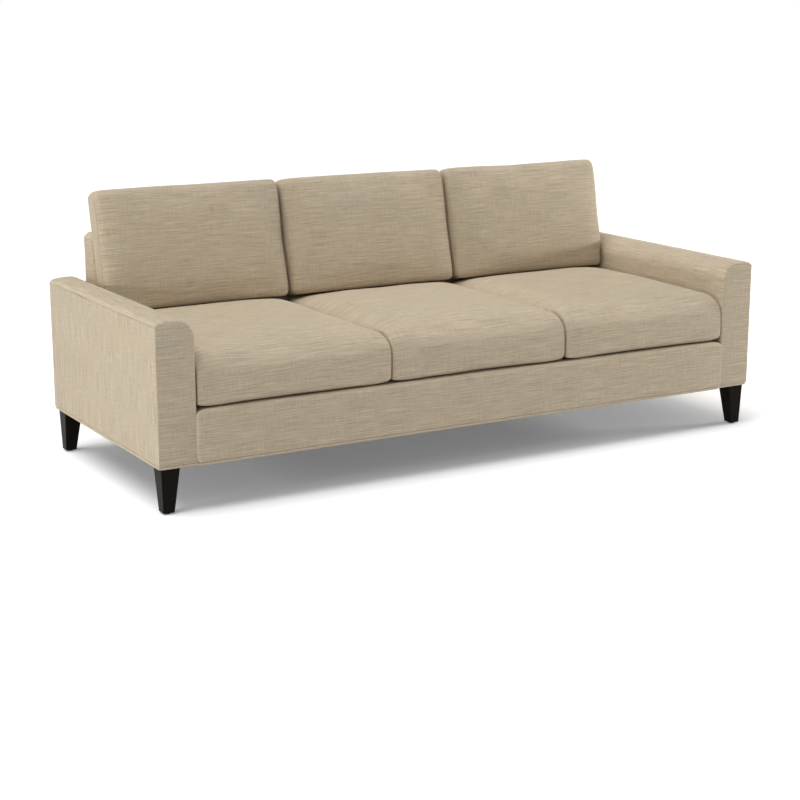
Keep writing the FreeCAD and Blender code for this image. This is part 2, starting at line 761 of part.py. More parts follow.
def main():
    base_frame()
    corner_blocks()
    arm_frames()
    back_frame()
    seat_webbing()
    cross_webbing()
    arm_covers()
    front_border()
    back_covers()
    base_covers()
    base_welt()
    legs()
    leg_fastenings()
    seat_cushions()
    back_cushions()
    document.recompute()
    for piece in document.Objects:
        if "Invalid" in piece.State or "Error" in piece.State:
            raise RuntimeError(f"{piece.Label} failed: {piece.State}")
    shapes = {piece.Label: checked(piece) for piece in nodes}
    os.makedirs("parts", exist_ok=True)
    for name, shape in shapes.items():
        shape.exportStep(f"parts/{name}.step")
        print(f"{name}: {len(shape.Solids)} solids, {shape.Volume / 1000:.1f} cubic cm")


main()
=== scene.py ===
# %% [markdown]
# # A three-seat square arm sofa
#
# The sofa has a wooden frame under tight covers, six loose cushions and four tapered legs. The packed
# model gives every piece its place, so the first step loads it. Everything below is in metres, in that
# model's frame: X to the viewer's right, Y to the back, Z up.

# %% Load the frame
import json
import math
from functools import partial

import bmesh
import bpy
import numpy as np
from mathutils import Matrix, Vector, noise
from mathutils.bvhtree import BVHTree


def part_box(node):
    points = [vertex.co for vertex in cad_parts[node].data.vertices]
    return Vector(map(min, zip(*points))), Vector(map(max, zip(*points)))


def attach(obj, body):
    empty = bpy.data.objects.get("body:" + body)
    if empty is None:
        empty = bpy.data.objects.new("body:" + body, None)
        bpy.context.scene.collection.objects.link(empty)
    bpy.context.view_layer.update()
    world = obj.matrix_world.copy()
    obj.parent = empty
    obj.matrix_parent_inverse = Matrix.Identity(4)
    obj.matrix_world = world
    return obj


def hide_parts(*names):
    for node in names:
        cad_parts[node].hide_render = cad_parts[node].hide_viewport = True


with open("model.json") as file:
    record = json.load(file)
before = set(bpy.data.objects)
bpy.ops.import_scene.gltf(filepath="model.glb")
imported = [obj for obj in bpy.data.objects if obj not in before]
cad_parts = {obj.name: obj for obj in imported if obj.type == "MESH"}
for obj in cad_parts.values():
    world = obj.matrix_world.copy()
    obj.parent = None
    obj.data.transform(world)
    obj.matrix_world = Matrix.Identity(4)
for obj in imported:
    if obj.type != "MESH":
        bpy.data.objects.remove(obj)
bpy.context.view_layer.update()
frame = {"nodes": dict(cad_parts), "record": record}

# %% [markdown]
# ## Small tools for building materials
#
# A material is a network of nodes. Placing each node by hand in code takes many lines, so short helpers
# do the wiring: one plugs values or other nodes' outputs into a node, one adds a node, and one does
# arithmetic on the values that run along the wires.

# %% Helpers that add and wire nodes


def plug(tree, inputs, values):
    """Plug each named input with a socket, or set it to a value."""
    for name, value in values.items():
        if isinstance(value, bpy.types.NodeSocket):
            tree.links.new(value, inputs[name])
        else:
            inputs[name].default_value = value


def add_node(tree, kind, inputs=None, **settings):
    """Add a node, set its options and plug its inputs."""
    made = tree.nodes.new(kind)
    for name, value in settings.items():
        setattr(made, name, value)
    plug(tree, made.inputs, inputs or {})
    return made


def math_node(tree, operation, first, second=0.0, third=0.0):
    """The result of an operation on up to three values."""
    made = add_node(tree, "ShaderNodeMath", {0: first, 1: second, 2: third}, operation=operation)
    return made.outputs[0]


def mix_colours(tree, share, first, second):
    """The colour between two others, by a share from 0 to 1."""
    made = add_node(tree, "ShaderNodeMix", {"Factor": share, 6: first, 7: second}, data_type="RGBA")
    return made.outputs[2]


def noise_texture(tree, place, scale, detail, distortion=0.0):
    """The value of a noise at a place."""
    made = add_node(tree, "ShaderNodeTexNoise", {"Vector": place, "Scale": scale, "Detail": detail,
                                                 "Distortion": distortion})
    return made.outputs[0]


def from_range(tree, value, low, high):
    """A share from 0 to 1 for a value between two others."""
    made = add_node(tree, "ShaderNodeMapRange", {"Value": value, "From Min": low, "From Max": high})
    return made.outputs[0]


def stretched_noise(tree, along, across, rates, seed, detail=2.0):
    """Noise that is drawn out along a thread: rates are in features to the metre, along and across."""
    place = add_node(tree, "ShaderNodeCombineXYZ", {
        "X": math_node(tree, "MULTIPLY", along, rates[0]),
        "Y": math_node(tree, "MULTIPLY", across, rates[1]),
        "Z": seed,
    }).outputs[0]
    return noise_texture(tree, place, 1.0, detail)


def new_group(name, inputs):
    """A node group that describes a surface; inputs names its inputs and the kind of each."""
    group = bpy.data.node_groups.new(name, "ShaderNodeTree")
    outputs = {"Color": "Color", "Height": "Float", "Roughness": "Float"}
    for direction, sockets in (("INPUT", inputs), ("OUTPUT", outputs)):
        for socket, kind in sockets.items():
            group.interface.new_socket(socket, in_out=direction, socket_type=f"NodeSocket{kind}")
    return group, group.nodes.new("NodeGroupInput").outputs, group.nodes.new("NodeGroupOutput").inputs


print("node helpers are ready")

# %% [markdown]
# ## The linen weave
#
# The cloth is a plain weave of uneven linen threads. Up close each thread goes over one and under the
# next. From further away only the slubs show: thick stretches of weft thread, a few millimetres high
# and up to a hand long, some warmer and some greyer than the rest. An image could hold this, but a
# group of nodes stays sharp at any distance and can be shared by several cloths. It reads two
# lengths in metres, along the weft and across it, which each piece carries as a map named weave.

# %% Build the weave group
THREAD_PITCH = 0.0016
WANDER_RATES, WANDER = (60, 60), 0.0012
CROSSING_RISE = 0.4
LONG_SLUBS, SHORT_SLUBS, WARP_SLUBS = (8, 330), (26, 560), (400, 18)
SHORT_SHARE, WARP_SHARE, SLUB_MIDDLE = 0.6, 0.45, 1.025
TINTS, PATCHES, PATCH_SHARE, TINT_RANGE = (5, 150), (5, 6), 0.8, (0.62, 1.18)
DYE_DETAIL = 3.0
# The thread share is painted shade: it darkens the colour in the gaps between threads
PLAIN_LIGHT, SLUB_LIGHT, THREAD_GAP_SHADE = 0.88, 0.88, 0.2
SLUB_HEIGHT = 0.8
DULL, THREAD_GLOSS = 0.95, -0.12


def build_weave_group():
    """The weave as a node group: it takes a place, a thread pitch, a slub strength and two dyes."""
    group, given, result = new_group("linen_weave", {
        "Weave": "Vector", "Pitch": "Float", "Slub": "Float", "Warm": "Color", "Grey": "Color"})
    lengths = add_node(group, "ShaderNodeSeparateXYZ", {"Vector": given["Weave"]})
    along, across = lengths.outputs["X"], lengths.outputs["Y"]
    calculate = partial(math_node, group)
    spun = partial(stretched_noise, group, along, across)

    # Hand-spun threads wander a little, so the thread count is bent by a slow noise
    wander = calculate("MULTIPLY", spun(WANDER_RATES, seed=4.0), WANDER)
    turn = calculate("DIVIDE", math.pi, given["Pitch"])
    weft_wave, warp_wave = [calculate("SINE", calculate("MULTIPLY", calculate("ADD", place, wander), turn))
                            for place in (across, along)]
    weft_on_top = calculate("GREATER_THAN", calculate("MULTIPLY", weft_wave, warp_wave), 0.0)
    weft_round, warp_round = [calculate("ABSOLUTE", wave) for wave in (weft_wave, warp_wave)]
    weft_height, warp_height = [
        calculate("MULTIPLY", thread, calculate("MULTIPLY_ADD", crossing, CROSSING_RISE, 1 - CROSSING_RISE))
        for thread, crossing in ((weft_round, warp_round), (warp_round, weft_round))]
    threads = add_node(group, "ShaderNodeMix", {0: weft_on_top, 2: warp_height, 3: weft_height}).outputs[0]

    # Slubs: long and short thick stretches of weft, and fainter ones of warp
    slubs = calculate("MULTIPLY_ADD", spun(SHORT_SLUBS, seed=2.0), SHORT_SHARE, spun(LONG_SLUBS, seed=1.0))
    slubs = calculate("MULTIPLY_ADD", spun(WARP_SLUBS, seed=3.0), WARP_SHARE, slubs)
    slubs = calculate("SUBTRACT", slubs, SLUB_MIDDLE)

    # Dye lots: greyer and warmer stretches of thread
    tint = spun(TINTS, seed=5.0, detail=DYE_DETAIL)
    tint = calculate("MULTIPLY_ADD", spun(PATCHES, seed=6.0, detail=DYE_DETAIL), PATCH_SHARE, tint)
    colour = mix_colours(group, from_range(group, tint, *TINT_RANGE), given["Warm"], given["Grey"])

    light = calculate("MULTIPLY", slubs, given["Slub"])
    light = calculate("MULTIPLY_ADD", light, SLUB_LIGHT, PLAIN_LIGHT)
    # Painted shade: the colour darkens in the gaps between the threads and is lightest on their crowns
    light = calculate("MULTIPLY_ADD", threads, THREAD_GAP_SHADE, light)
    shade = add_node(group, "ShaderNodeVectorMath", {0: colour, 1: light}, operation="MULTIPLY")
    plug(group, result, {
        "Color": shade.outputs[0],
        "Height": calculate("MULTIPLY_ADD", slubs, SLUB_HEIGHT, threads),
        "Roughness": calculate("MULTIPLY_ADD", threads, THREAD_GLOSS, DULL),
    })
    return group


weave_group = build_weave_group()
print("weave group:", len(weave_group.nodes), "nodes")

# %% [markdown]
# ## The cloths
#
# The sofa's cover, the thinner cloth on the deck and the straps of the webbing all use the weave group,
# each with its own colours and thread pitch. A piece that was made here carries the weave map; a strap
# from the model has none, so its cloth reads the place of each point instead. A faint sheen on the
# shader stands for the fuzz that catches light at grazing angles.

# %% Make the cloth materials
WEAVE_MAP = "weave"
CLOTH_SPECULAR, SHEEN_ROUGHNESS = 0.2, 0.5


def new_material(name):
    """A new material, its node tree and its shader."""
    material = bpy.data.materials.new(name)
    material.use_nodes = True
    return material, material.node_tree, material.node_tree.nodes["Principled BSDF"]


def own_place(tree):
    """Each point's place in its object's own frame."""
    return add_node(tree, "ShaderNodeTexCoord").outputs["Object"]


def finish_shader(tree, shader, height, strength, distance, values):
    """Give a shader its relief, from a height, and plug or set its other inputs."""
    raised = add_node(tree, "ShaderNodeBump", {"Height": height, "Strength": strength, "Distance": distance})
    plug(tree, shader.inputs, {"Normal": raised.outputs["Normal"], **values})


def cloth(name, warm, grey, pitch, slub, bump, sheen, mapped=True):
    """Woven cloth of two dyes, with its thread pitch and the strength of its slubs, relief and sheen."""
    material, tree, shader = new_material(name)
    if mapped:
        place = add_node(tree, "ShaderNodeUVMap", uv_map=WEAVE_MAP).outputs["UV"]
    else:
        place = own_place(tree)
    woven = {"Weave": place, "Pitch": pitch, "Slub": slub, "Warm": warm, "Grey": grey}
    look = add_node(tree, "ShaderNodeGroup", woven, node_tree=weave_group).outputs
    finish_shader(tree, shader, look["Height"], bump, pitch / 2, {
        "Base Color": look["Color"], "Roughness": look["Roughness"], "Specular IOR Level": CLOTH_SPECULAR,
        "Sheen Weight": sheen, "Sheen Roughness": SHEEN_ROUGHNESS})
    return material


LINEN_WARM = (0.575, 0.465, 0.33, 1)
LINEN_GREY = (0.55, 0.475, 0.354, 1)
linen = cloth("beige_linen", LINEN_WARM, LINEN_GREY, pitch=THREAD_PITCH, slub=1.0, bump=0.5, sheen=0.1)
deck_cloth = cloth("plain_deck_linen", (0.47, 0.4, 0.3, 1), (0.44, 0.39, 0.32, 1),
                   pitch=0.001, slub=0.4, bump=0.4, sheen=0.05)
strap_cloth = cloth("woven_strap", (0.2, 0.17, 0.13, 1), (0.1, 0.09, 0.08, 1),
                    pitch=0.002, slub=0.6, bump=0.6, sheen=0.0, mapped=False)
print("cloths:", linen.name, deck_cloth.name, strap_cloth.name)

# %% [markdown]
# ## Wood, steel and plastic
#
# The legs are hardwood under a dark stain, so the grain shows only as slightly lighter pores, and the
# finish shines little. The frame inside is bare pale wood. Both take the same grain group: noise drawn
# out along the length of the board.

# %% Make the wood group and the hard materials
FIGURE_DETAIL, FIGURE_BEND, FIGURE_SHARE = 6.0, 0.6, 0.6
PORE_SCALE, PORE_RANGE, PORE_SHARE = 7.0, (0.52, 0.7), 0.45
WOOD_ROUGHNESS, PORE_ROUGHNESS = 0.34, 0.2
GRAIN_STRENGTH, GRAIN_DEPTH, WOOD_SPECULAR = 0.25, 0.0004, 0.04
SPECKLE_DETAIL, SPECKLE_DEPTH = 3.0, 0.0005


def build_grain_group():
    """The grain as a node group: it takes a place and the colours of dark and light wood."""
    group, given, result = new_group("wood_grain", {"Place": "Vector", "Dark": "Color", "Light": "Color"})
    calculate = partial(math_node, group)
    figure = noise_texture(group, given["Place"], 1.0, FIGURE_DETAIL, FIGURE_BEND)
    pores = from_range(group, noise_texture(group, given["Place"], PORE_SCALE, 2.0), *PORE_RANGE)
    share = calculate("MULTIPLY_ADD", pores, PORE_SHARE, calculate("MULTIPLY", figure, FIGURE_SHARE))
    plug(group, result, {
        "Color": mix_colours(group, share, given["Dark"], given["Light"]),
        "Height": calculate("MULTIPLY", pores, -1.0),
        "Roughness": calculate("MULTIPLY_ADD", pores, PORE_ROUGHNESS, WOOD_ROUGHNESS),
    })
    return group


grain_group = build_grain_group()


def wood(name, dark, light, stretch):
    """Wood whose grain runs along the axis where stretch is smallest."""
    material, tree, shader = new_material(name)
    place = add_node(tree, "ShaderNodeVectorMath", {0: own_place(tree), 1: stretch}, operation="MULTIPLY")
    grain = {"Place": place.outputs[0], "Dark": dark, "Light": light}
    look = add_node(tree, "ShaderNodeGroup", grain, node_tree=grain_group).outputs
    finish_shader(tree, shader, look["Height"], GRAIN_STRENGTH, GRAIN_DEPTH, {
        "Base Color": look["Color"], "Roughness": look["Roughness"], "Specular IOR Level": WOOD_SPECULAR})
    return material


def speckled(name, dark, light, scale, roughness, bump, metallic=0.0):
    """A plain hard or felted surface with a fine speckle in its colour and its relief."""
    material, tree, shader = new_material(name)
    speckle = noise_texture(tree, own_place(tree), scale, SPECKLE_DETAIL)
    finish_shader(tree, shader, speckle, bump, SPECKLE_DEPTH, {
        "Base Color": mix_colours(tree, speckle, dark, light), "Roughness": roughness, "Metallic": metallic})
    return material


def grey(level):
    """An opaque grey."""
    return level, level, level, 1


leg_wood = wood("dark_stained_wood", (0.006, 0.0045, 0.004, 1), (0.016, 0.011, 0.009, 1),
                stretch=(120, 120, 9))
frame_wood = wood("bare_frame_wood", (0.5, 0.34, 0.19, 1), (0.68, 0.5, 0.32, 1), stretch=(6, 90, 90))
steel = speckled("zinc_steel", grey(0.5), grey(0.68), scale=900, roughness=0.35, bump=0.1, metallic=1.0)
glide_plastic = speckled("moulded_glide", grey(0.02), grey(0.045), scale=700, roughness=0.5, bump=0.15)
dust_cloth = speckled("black_dust_cloth", grey(0.012), grey(0.035), scale=500, roughness=0.95, bump=0.5)
foam = speckled("pale_foam", (0.7, 0.63, 0.45, 1), (0.85, 0.8, 0.62, 1),
                scale=600, roughness=0.95, bump=0.6)
print("hard materials:", leg_wood.name, frame_wood.name, steel.name, glide_plastic.name, dust_cloth.name)

# %% [markdown]
# ## Give the model's own nodes their materials
#
# The rails, posts, bolts, legs and glides are rigid, and the model already has their true shapes. They
# stay as they are and only change their material. The padded covers and cushions are soft, so they are
# rebuilt further down and stand in for their nodes.

# %% Assign materials to the rigid nodes
slots = {entry["node"]: entry["material_slot"] for entry in frame["record"]["subparts"]}
finishes = {"leg_wood": leg_wood, "frame_wood": frame_wood, "steel": steel, "glide_plastic": glide_plastic,
            "dust_cloth": dust_cloth, "webbing": strap_cloth, "foam": foam, "upholstery": linen,
            "deck_cloth": deck_cloth}
for name, slot in slots.items():
    mesh = frame["nodes"][name].data
    mesh.materials.clear()
    mesh.materials.append(finishes[slot])
print("nodes with a finish:", len(slots))

# %% [markdown]
# ## Turning points into pieces
#
# Tight upholstery follows the frame, so each cover can be written down as rows of points: a section drawn
# once and carried along a line. These helpers turn rows into a mesh, lay the weave map over it and give
# the surface the slight unevenness that padding has under cloth.

# %% Helpers that make a mesh from rows of points


def place_object(name, data):
    """An object in the scene that holds a mesh, a lamp or a camera."""
    made = bpy.data.objects.new(name, data)
    bpy.context.scene.collection.objects.link(made)
    return made


def mesh_piece(name, points, faces, material, body="sofa_frame"):
    """A smooth mesh object that rides on a body."""
    mesh = bpy.data.meshes.new(name)
    mesh.from_pydata([tuple(point) for point in points], [], faces)
    mesh.shade_smooth()
    mesh.materials.append(material)
    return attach(place_object(name, mesh), body)


def grid_faces(rows, columns, wrap=False, flip=False):
    """The quads between neighbouring rows of points."""
    faces = []
    for row in range(rows - 1):
        for column in range(columns if wrap else columns - 1):
            beside = (column + 1) % columns
            quad = [row * columns + column, row * columns + beside, (row + 1) * columns + beside,
                    (row + 1) * columns + column]
            faces.append(quad[::-1] if flip else quad)
    return faces


def write_weave(piece, lengths):
    """Write the weave map from each point's metres along and across the weft."""
    layer = piece.data.uv_layers.new(name=WEAVE_MAP)
    corners = np.zeros(len(piece.data.loops), np.int32)
    piece.data.loops.foreach_get("vertex_index", corners)
    layer.uv.foreach_set("vector", np.array(lengths, np.float32)[corners].ravel())


def lay_weave(piece, along, across):
    """Write the weave map: two functions give metres along and across the weft at a point."""
    write_weave(piece, [(along(vertex.co), across(vertex.co)) for vertex in piece.data.vertices])


PADDING_SWELL, SWELL_SIZE = 0.0007, 0.11
SEED_STEPS = (1, 1.7, 2.3)


def unevenness(point, seed, size=SWELL_SIZE):
    """A slow noise between about -1 and 1, one swell every size metres or so."""
    return noise.noise(point / size + Vector([seed * step for step in SEED_STEPS]))


def pad_out(piece, seed):
    """Move each point in or out along its normal by a slow noise."""
    mesh = piece.data
    moved = [vertex.co + vertex.normal * PADDING_SWELL * unevenness(vertex.co, seed)
             for vertex in mesh.vertices]
    for vertex, place in zip(mesh.vertices, moved):
        vertex.co = place
    mesh.update()


print("mesh helpers are ready")

# %% [markdown]
# ## Sections and sweeps
#
# A cover that rolls over an edge, such as the arm's, is a section with rounded corners swept along a
# line. Where a cover ends at a seam the padding pulls in, so the last rows of the sweep shrink towards
# the inside of the section along a quarter round.

# %% Helpers for sections and sweeps
ARC_STEPS = 12
RUN_STEP = 0.012


def run_between(start, end):
    """Evenly spaced points on a straight run, without its end."""
    count = max(1, round((end - start).length / RUN_STEP))
    return [start.lerp(end, step / count) for step in range(count)]


def rounded_path(corners):
    """Points along an open path whose inner corners are rounded: each corner is (x, y, radius)."""
    places = [Vector(corner[:2]) for corner in corners]
    path, last = [], places[0]
    for before, corner, after, (_, _, radius) in zip(places, places[1:], places[2:], corners[1:-1]):
        into, out = (corner - before).normalized(), (after - corner).normalized()
        half = into.angle(out) / 2
        reach = radius * math.tan(half)
        start, end = corner - into * reach, corner + out * reach
        path += run_between(last, start)
        # Each point of the arc lies on the circle, between the radii to the arc's two ends
        centre = corner + (out - into).normalized() * (radius / math.cos(half))
        for step in range(ARC_STEPS):
            arm = (start - centre).lerp(end - centre, step / ARC_STEPS)
            path.append(centre + arm.normalized() * radius)
        last = end
    return path + run_between(last, places[-1]) + [places[-1]]


def path_normals(path):
    """The direction to the left of the path at each point."""
    normals = []
    for index in range(len(path)):
        step = path[min(index + 1, len(path) - 1)] - path[max(index - 1, 0)]
        normals.append(Vector((-step.y, step.x)).normalized())
    return normals


def quarter_round(radius, depth, steps=5):
    """Pairs of distance from the seam and inset, from the seam outwards along a quarter ellipse."""
    turns = [math.pi / 2 * step / steps for step in range(steps + 1)]
    return [(radius * (1 - math.cos(turn)), depth * (1 - math.sin(turn))) for turn in turns]


def stations(start, end, radius, depth):
    """Places along a sweep with the inset at each: rounded at both ends and straight between."""
    near = [(start + away, inset) for away, inset in quarter_round(radius, depth)]
    far = [(end - away, inset) for away, inset in reversed(quarter_round(radius, depth))]
    count = max(2, round((far[0][0] - near[-1][0]) / RUN_STEP))
    gap = (far[0][0] - near[-1][0]) / count
    return near + [(near[-1][0] + gap * step, 0.0) for step in range(1, count)] + far


def sweep(name, section, places, to_world, material, inset_share=None, flip=False):
    """Carry a section along its places; inset_share scales the inset by the section's normal."""
    normals = path_normals(section)
    points = []
    for place, inset in places:
        for point, normal in zip(section, normals):
            share = inset_share(normal) if inset_share else 1.0
            points.append(to_world(point - normal * inset * share, place))
    return mesh_piece(name, points, grid_faces(len(places), len(section), flip=flip), material)


def lay_sweep_weave(piece, section, along):
    """Write a sweep's weave map: metres along it by a function, and across it by the section's length."""
    steps = [(end - start).length for start, end in zip(section, section[1:])]
    gone = np.concatenate(([0.0], np.cumsum(steps)))
    write_weave(piece, [(along(vertex.co), gone[index % len(section)])
                        for index, vertex in enumerate(piece.data.vertices)])


print("sweep helpers are ready")

# %% [markdown]
# ## Padded panels
#
# A flat panel, such as an arm's front, is sewn in along its whole outline. Its edge rolls back into the
# seam and its middle stands slightly proud. It is made as a grid inside the outline, with extra rows and
# columns close to the edge where the surface turns.

# %% Helper for padded panels
EDGE_STEPS = (0.0, 0.0006, 0.0015, 0.003, 0.005, 0.008, 0.013)
PANEL_STEP = 0.01
EDGE_SHARE = 0.8
LEVEL, TINY = 1e-6, 1e-12
TOP_TRIM = 0.0003
SOFT_EDGE, PUFF_REACH = 0.006, 0.03


def rectangle(low_x, low_y, high_x, high_y):
    """The four corners of a rectangle."""
    return [Vector(corner) for corner in ((low_x, low_y), (high_x, low_y), (high_x, high_y), (low_x, high_y))]


def spaced(low, high):
    """Places between two ends, close together near the ends."""
    reach = (high - low) / 2
    near = [step for step in EDGE_STEPS if step < reach * EDGE_SHARE] or [0.0]
    count = max(1, round((2 * reach - 2 * near[-1]) / PANEL_STEP))
    middle = [near[-1] + (2 * reach - 2 * near[-1]) * step / count for step in range(1, count)]
    return [low + step for step in near + middle] + [high - step for step in reversed(near)]


def width_at(outline, height):
    """The lowest and highest x of a convex outline at a height."""
    crossings = []
    for start, end in zip(outline, outline[1:] + outline[:1]):
        low, high = min(start.y, end.y), max(start.y, end.y)
        if high - low < LEVEL and abs(height - low) < LEVEL:
            crossings += [start.x, end.x]
        elif low <= height <= high:
            crossings.append(start.x + (end.x - start.x) * (height - start.y) / (end.y - start.y))
    return min(crossings), max(crossings)


def edge_distance(outline, point):
    """How far a point inside an outline is from its nearest side."""
    nearest = math.inf
    for start, end in zip(outline, outline[1:] + outline[:1]):
        side = end - start
        share = max(0.0, min(1.0, (point - start).dot(side) / max(side.length_squared, TINY)))
        nearest = min(nearest, (start + side * share - point).length)
    return nearest


def padded_panel(name, outline, to_world, material, puff, edge=SOFT_EDGE, flip=False):
    """A sewn panel: to_world places a point of the outline's plane at a height above it."""
    top = max(point.y for point in outline) - TOP_TRIM
    heights = spaced(min(point.y for point in outline), top)
    columns = len(spaced(*width_at(outline, (heights[0] + heights[-1]) / 2)))
    points = []
    for height in heights:
        low, high = width_at(outline, height)
        row = spaced(low, high)
        # Rows near a rounded corner are shorter, so their points move closer together
        shares = np.interp(np.linspace(0, 1, columns), np.linspace(0, 1, len(row)), row)
        for across in shares:
            place = Vector((across, height))
            away = edge_distance(outline, place)
            turned = max(0.0, edge - away)
            rise = math.sqrt(max(0.0, edge * edge - turned * turned)) - edge
            points.append(to_world(place, rise + puff * (1 - math.exp(-away / PUFF_REACH))))
    return mesh_piece(name, points, grid_faces(len(heights), columns, flip=flip), material)


print("panel helper is ready")

# %% [markdown]
# ## Cords and seams
#
# Where two panels meet, the cloth folded inside fills the seam, and on a cushion it stands up as a fine
# ridge. Round the sofa's foot a real cord is sewn in. All are tubes on a path, and the weave runs across
# them, because such strips are cut on the cross.

# %% Helper for cords
CORD_SIDES = 10


def tube(name, path, radius, material, body="sofa_frame", closed=True, ups=None):
    """A round tube on a path of points, with the weave across it; ups may say which way is up at each."""
    points, lengths, gone = [], [], 0.0
    count = len(path)
    for index, place in enumerate(path):
        ahead = path[(index + 1) % count] if closed or index + 1 < count else place
        behind = path[index - 1] if closed or index > 0 else place
        forward = (ahead - behind).normalized()
        up = ups[index] if ups else Vector((0, 0, 1))
        beside = forward.cross(up).normalized()
        up = beside.cross(forward)
        gone += (place - behind).length if index else 0.0
        for turn in range(CORD_SIDES):
            angle = 2 * math.pi * turn / CORD_SIDES
            points.append(place + (beside * math.cos(angle) + up * math.sin(angle)) * radius)
            lengths.append((2 * math.pi * radius * turn / CORD_SIDES, gone))
    rows = count + 1 if closed else count
    faces = [[corner % len(points) for corner in face] for face in grid_faces(rows, CORD_SIDES, wrap=True)]
    piece = mesh_piece(name, points, faces, material, body)
    write_weave(piece, lengths)
    return piece


print("cord helper is ready")

# %% [markdown]
# ## The arms
#
# Each arm is a square box of boards. One length of cloth runs from the seat deck up the inside, over the
# round inner edge and the flat top, and ends in a seam just below the outer edge. A flat panel closes
# the front, another the outside, and a third the rear end.

# %% Cover the arms
arm_low, arm_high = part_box("right_inside_arm_cover")
ARM_OUTER, ARM_INNER = arm_high.x, arm_low.x
ARM_WIDTH = ARM_OUTER - ARM_INNER
ARM_TOP, COVER_BOTTOM = arm_high.z, arm_low.z
ARM_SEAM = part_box("right_outside_arm_panel")[1].z
FRONT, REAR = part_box("right_arm_front_panel")[0].y, arm_high.y
DECK_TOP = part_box("deck_pad")[1].z
INNER_RADIUS, OUTER_RADIUS, ARM_CROWN = 0.056, 0.012, 0.003
OUTER_FALL, OUTER_REACH = 0.0035, 0.045
PANEL_EDGE, END_EDGE, PANEL_PUFF = 0.002, 0.0005, 0.001
SEAM_TUCK, SEAM_TURN, DECK_TUCK = 0.002, 0.0015, 0.012
SEAM_RADIUS, SEAM_SINK = 0.0016, 0.0018
FRONT_ROLL, FRONT_DROP, SIDE_DROP, INNER_DROP = 0.011, 0.006, 0.0012, 0.004


def arm_point(side):
    """Places a point of the arm's section, measured in from the outside, on the left or right arm."""
    return lambda point, y: Vector((side * (ARM_OUTER - point.x), y, point.y))


def arm_inset(normal):
    """The cover's top and inside drop further at its ends than its outside does."""
    up, inwards = max(0.0, normal.y), max(0.0, normal.x)
    return (SIDE_DROP + (FRONT_DROP - SIDE_DROP) * up + (INNER_DROP - SIDE_DROP) * inwards) / FRONT_DROP


def crowned(point):
    """The padding under the arm's top stands highest along the middle and thins towards the outer edge."""
    near_top = max(0.0, 1 - (ARM_TOP - point.y) / INNER_RADIUS)
    rise = ARM_CROWN * near_top * math.sin(math.pi * point.x / ARM_WIDTH)
    near_edge = max(0.0, 1 - point.x / OUTER_REACH)
    above_seam = max(0.0, (point.y - ARM_SEAM) / (ARM_TOP - ARM_SEAM))
    return Vector((point.x, point.y + rise - OUTER_FALL * near_edge ** 2 * above_seam))


arm_section = [crowned(point) for point in rounded_path([
    (SEAM_TUCK, ARM_SEAM, 0), (0, ARM_SEAM, SEAM_TURN), (0, ARM_TOP, OUTER_RADIUS),
    (ARM_WIDTH, ARM_TOP, INNER_RADIUS), (ARM_WIDTH, DECK_TOP - DECK_TUCK, 0),
])]
arm_places = stations(FRONT, REAR, FRONT_ROLL, FRONT_DROP)
arm_end = [point - normal * FRONT_DROP * arm_inset(normal)
           for point, normal in zip(arm_section, path_normals(arm_section))]
# An end panel's outline leaves out the cover's tuck behind the seam
foot_outer, foot_inner = [Vector((x, COVER_BOTTOM)) for x in (SIDE_DROP, ARM_WIDTH - INNER_DROP)]
end_outline = [foot_outer, *arm_end[2:], foot_inner]
ARM_ENDS = (("front", FRONT, -1), ("rear", REAR, 1))

for side_name, side in (("left", -1), ("right", 1)):
    arm_at = arm_point(side)
    cover = sweep(f"{side_name}_arm_cover", arm_section, arm_places, arm_at, linen, arm_inset, flip=side > 0)
    pad_out(cover, seed=side)
    lay_sweep_weave(cover, arm_section, lambda co: co.y)
    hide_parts(f"{side_name}_inside_arm_cover")

    for end_name, end_y, outward in ARM_ENDS:
        panel = padded_panel(
            f"{side_name}_arm_{end_name}", end_outline,
            lambda point, rise: arm_at(point, end_y + outward * rise),
            linen, PANEL_PUFF, END_EDGE, flip=side * outward > 0)
        if end_name == "front":
            pad_out(panel, seed=side + 5)
            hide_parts(f"{side_name}_arm_front_panel")
        lay_weave(panel, lambda co: co.x, lambda co: co.z)
    for end_name, end_y, outward in ARM_ENDS:
        ridge = [arm_at(point, end_y - outward * SEAM_SINK) for point in end_outline]
        seam = tube(f"{side_name}_arm_{end_name}_seam", ridge, SEAM_RADIUS, linen, closed=False,
                    ups=[Vector((0, 1, 0))] * len(ridge))

    outside_panel = padded_panel(
        f"{side_name}_arm_outside", rectangle(FRONT, COVER_BOTTOM, REAR, ARM_SEAM),
        lambda point, rise: Vector((side * (ARM_OUTER + rise), point.x, point.y)), linen,
        PANEL_PUFF, PANEL_EDGE, flip=side < 0)
    pad_out(outside_panel, seed=side + 9)
    lay_weave(outside_panel, lambda co: co.z, lambda co: co.y)
    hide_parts(f"{side_name}_outside_arm_panel")
print("each arm has", len(arm_section), "points to a section and", len(arm_places), "sections")

# %% [markdown]
# ## The front border
#
# Below the seat cushions the front rail is covered by a border that rolls over the rail's edge and runs
# back under the cushions to meet the deck. Its padding stands a little proud of the arm fronts and laps
# over their edges. Its ends are sewn down, so they pull in, and its lower edge turns under above the welt.

# %% Cover the front rail
border_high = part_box("front_border")[1]
BORDER_RADIUS, BORDER_TUCK, BORDER_PROUD, BORDER_LAP = 0.014, 0.003, 0.009, 0.005
BORDER_END = ARM_INNER + BORDER_LAP
END_ROLL, END_DROP = 0.009, 0.0125
END_FALL, END_FALL_REACH = 0.012, 0.035

border_section = rounded_path([
    (border_high.y, border_high.z, 0), (FRONT - BORDER_PROUD, border_high.z, BORDER_RADIUS),
    (FRONT - BORDER_PROUD, COVER_BOTTOM, BORDER_TUCK), (FRONT + BORDER_TUCK, COVER_BOTTOM, 0),
])


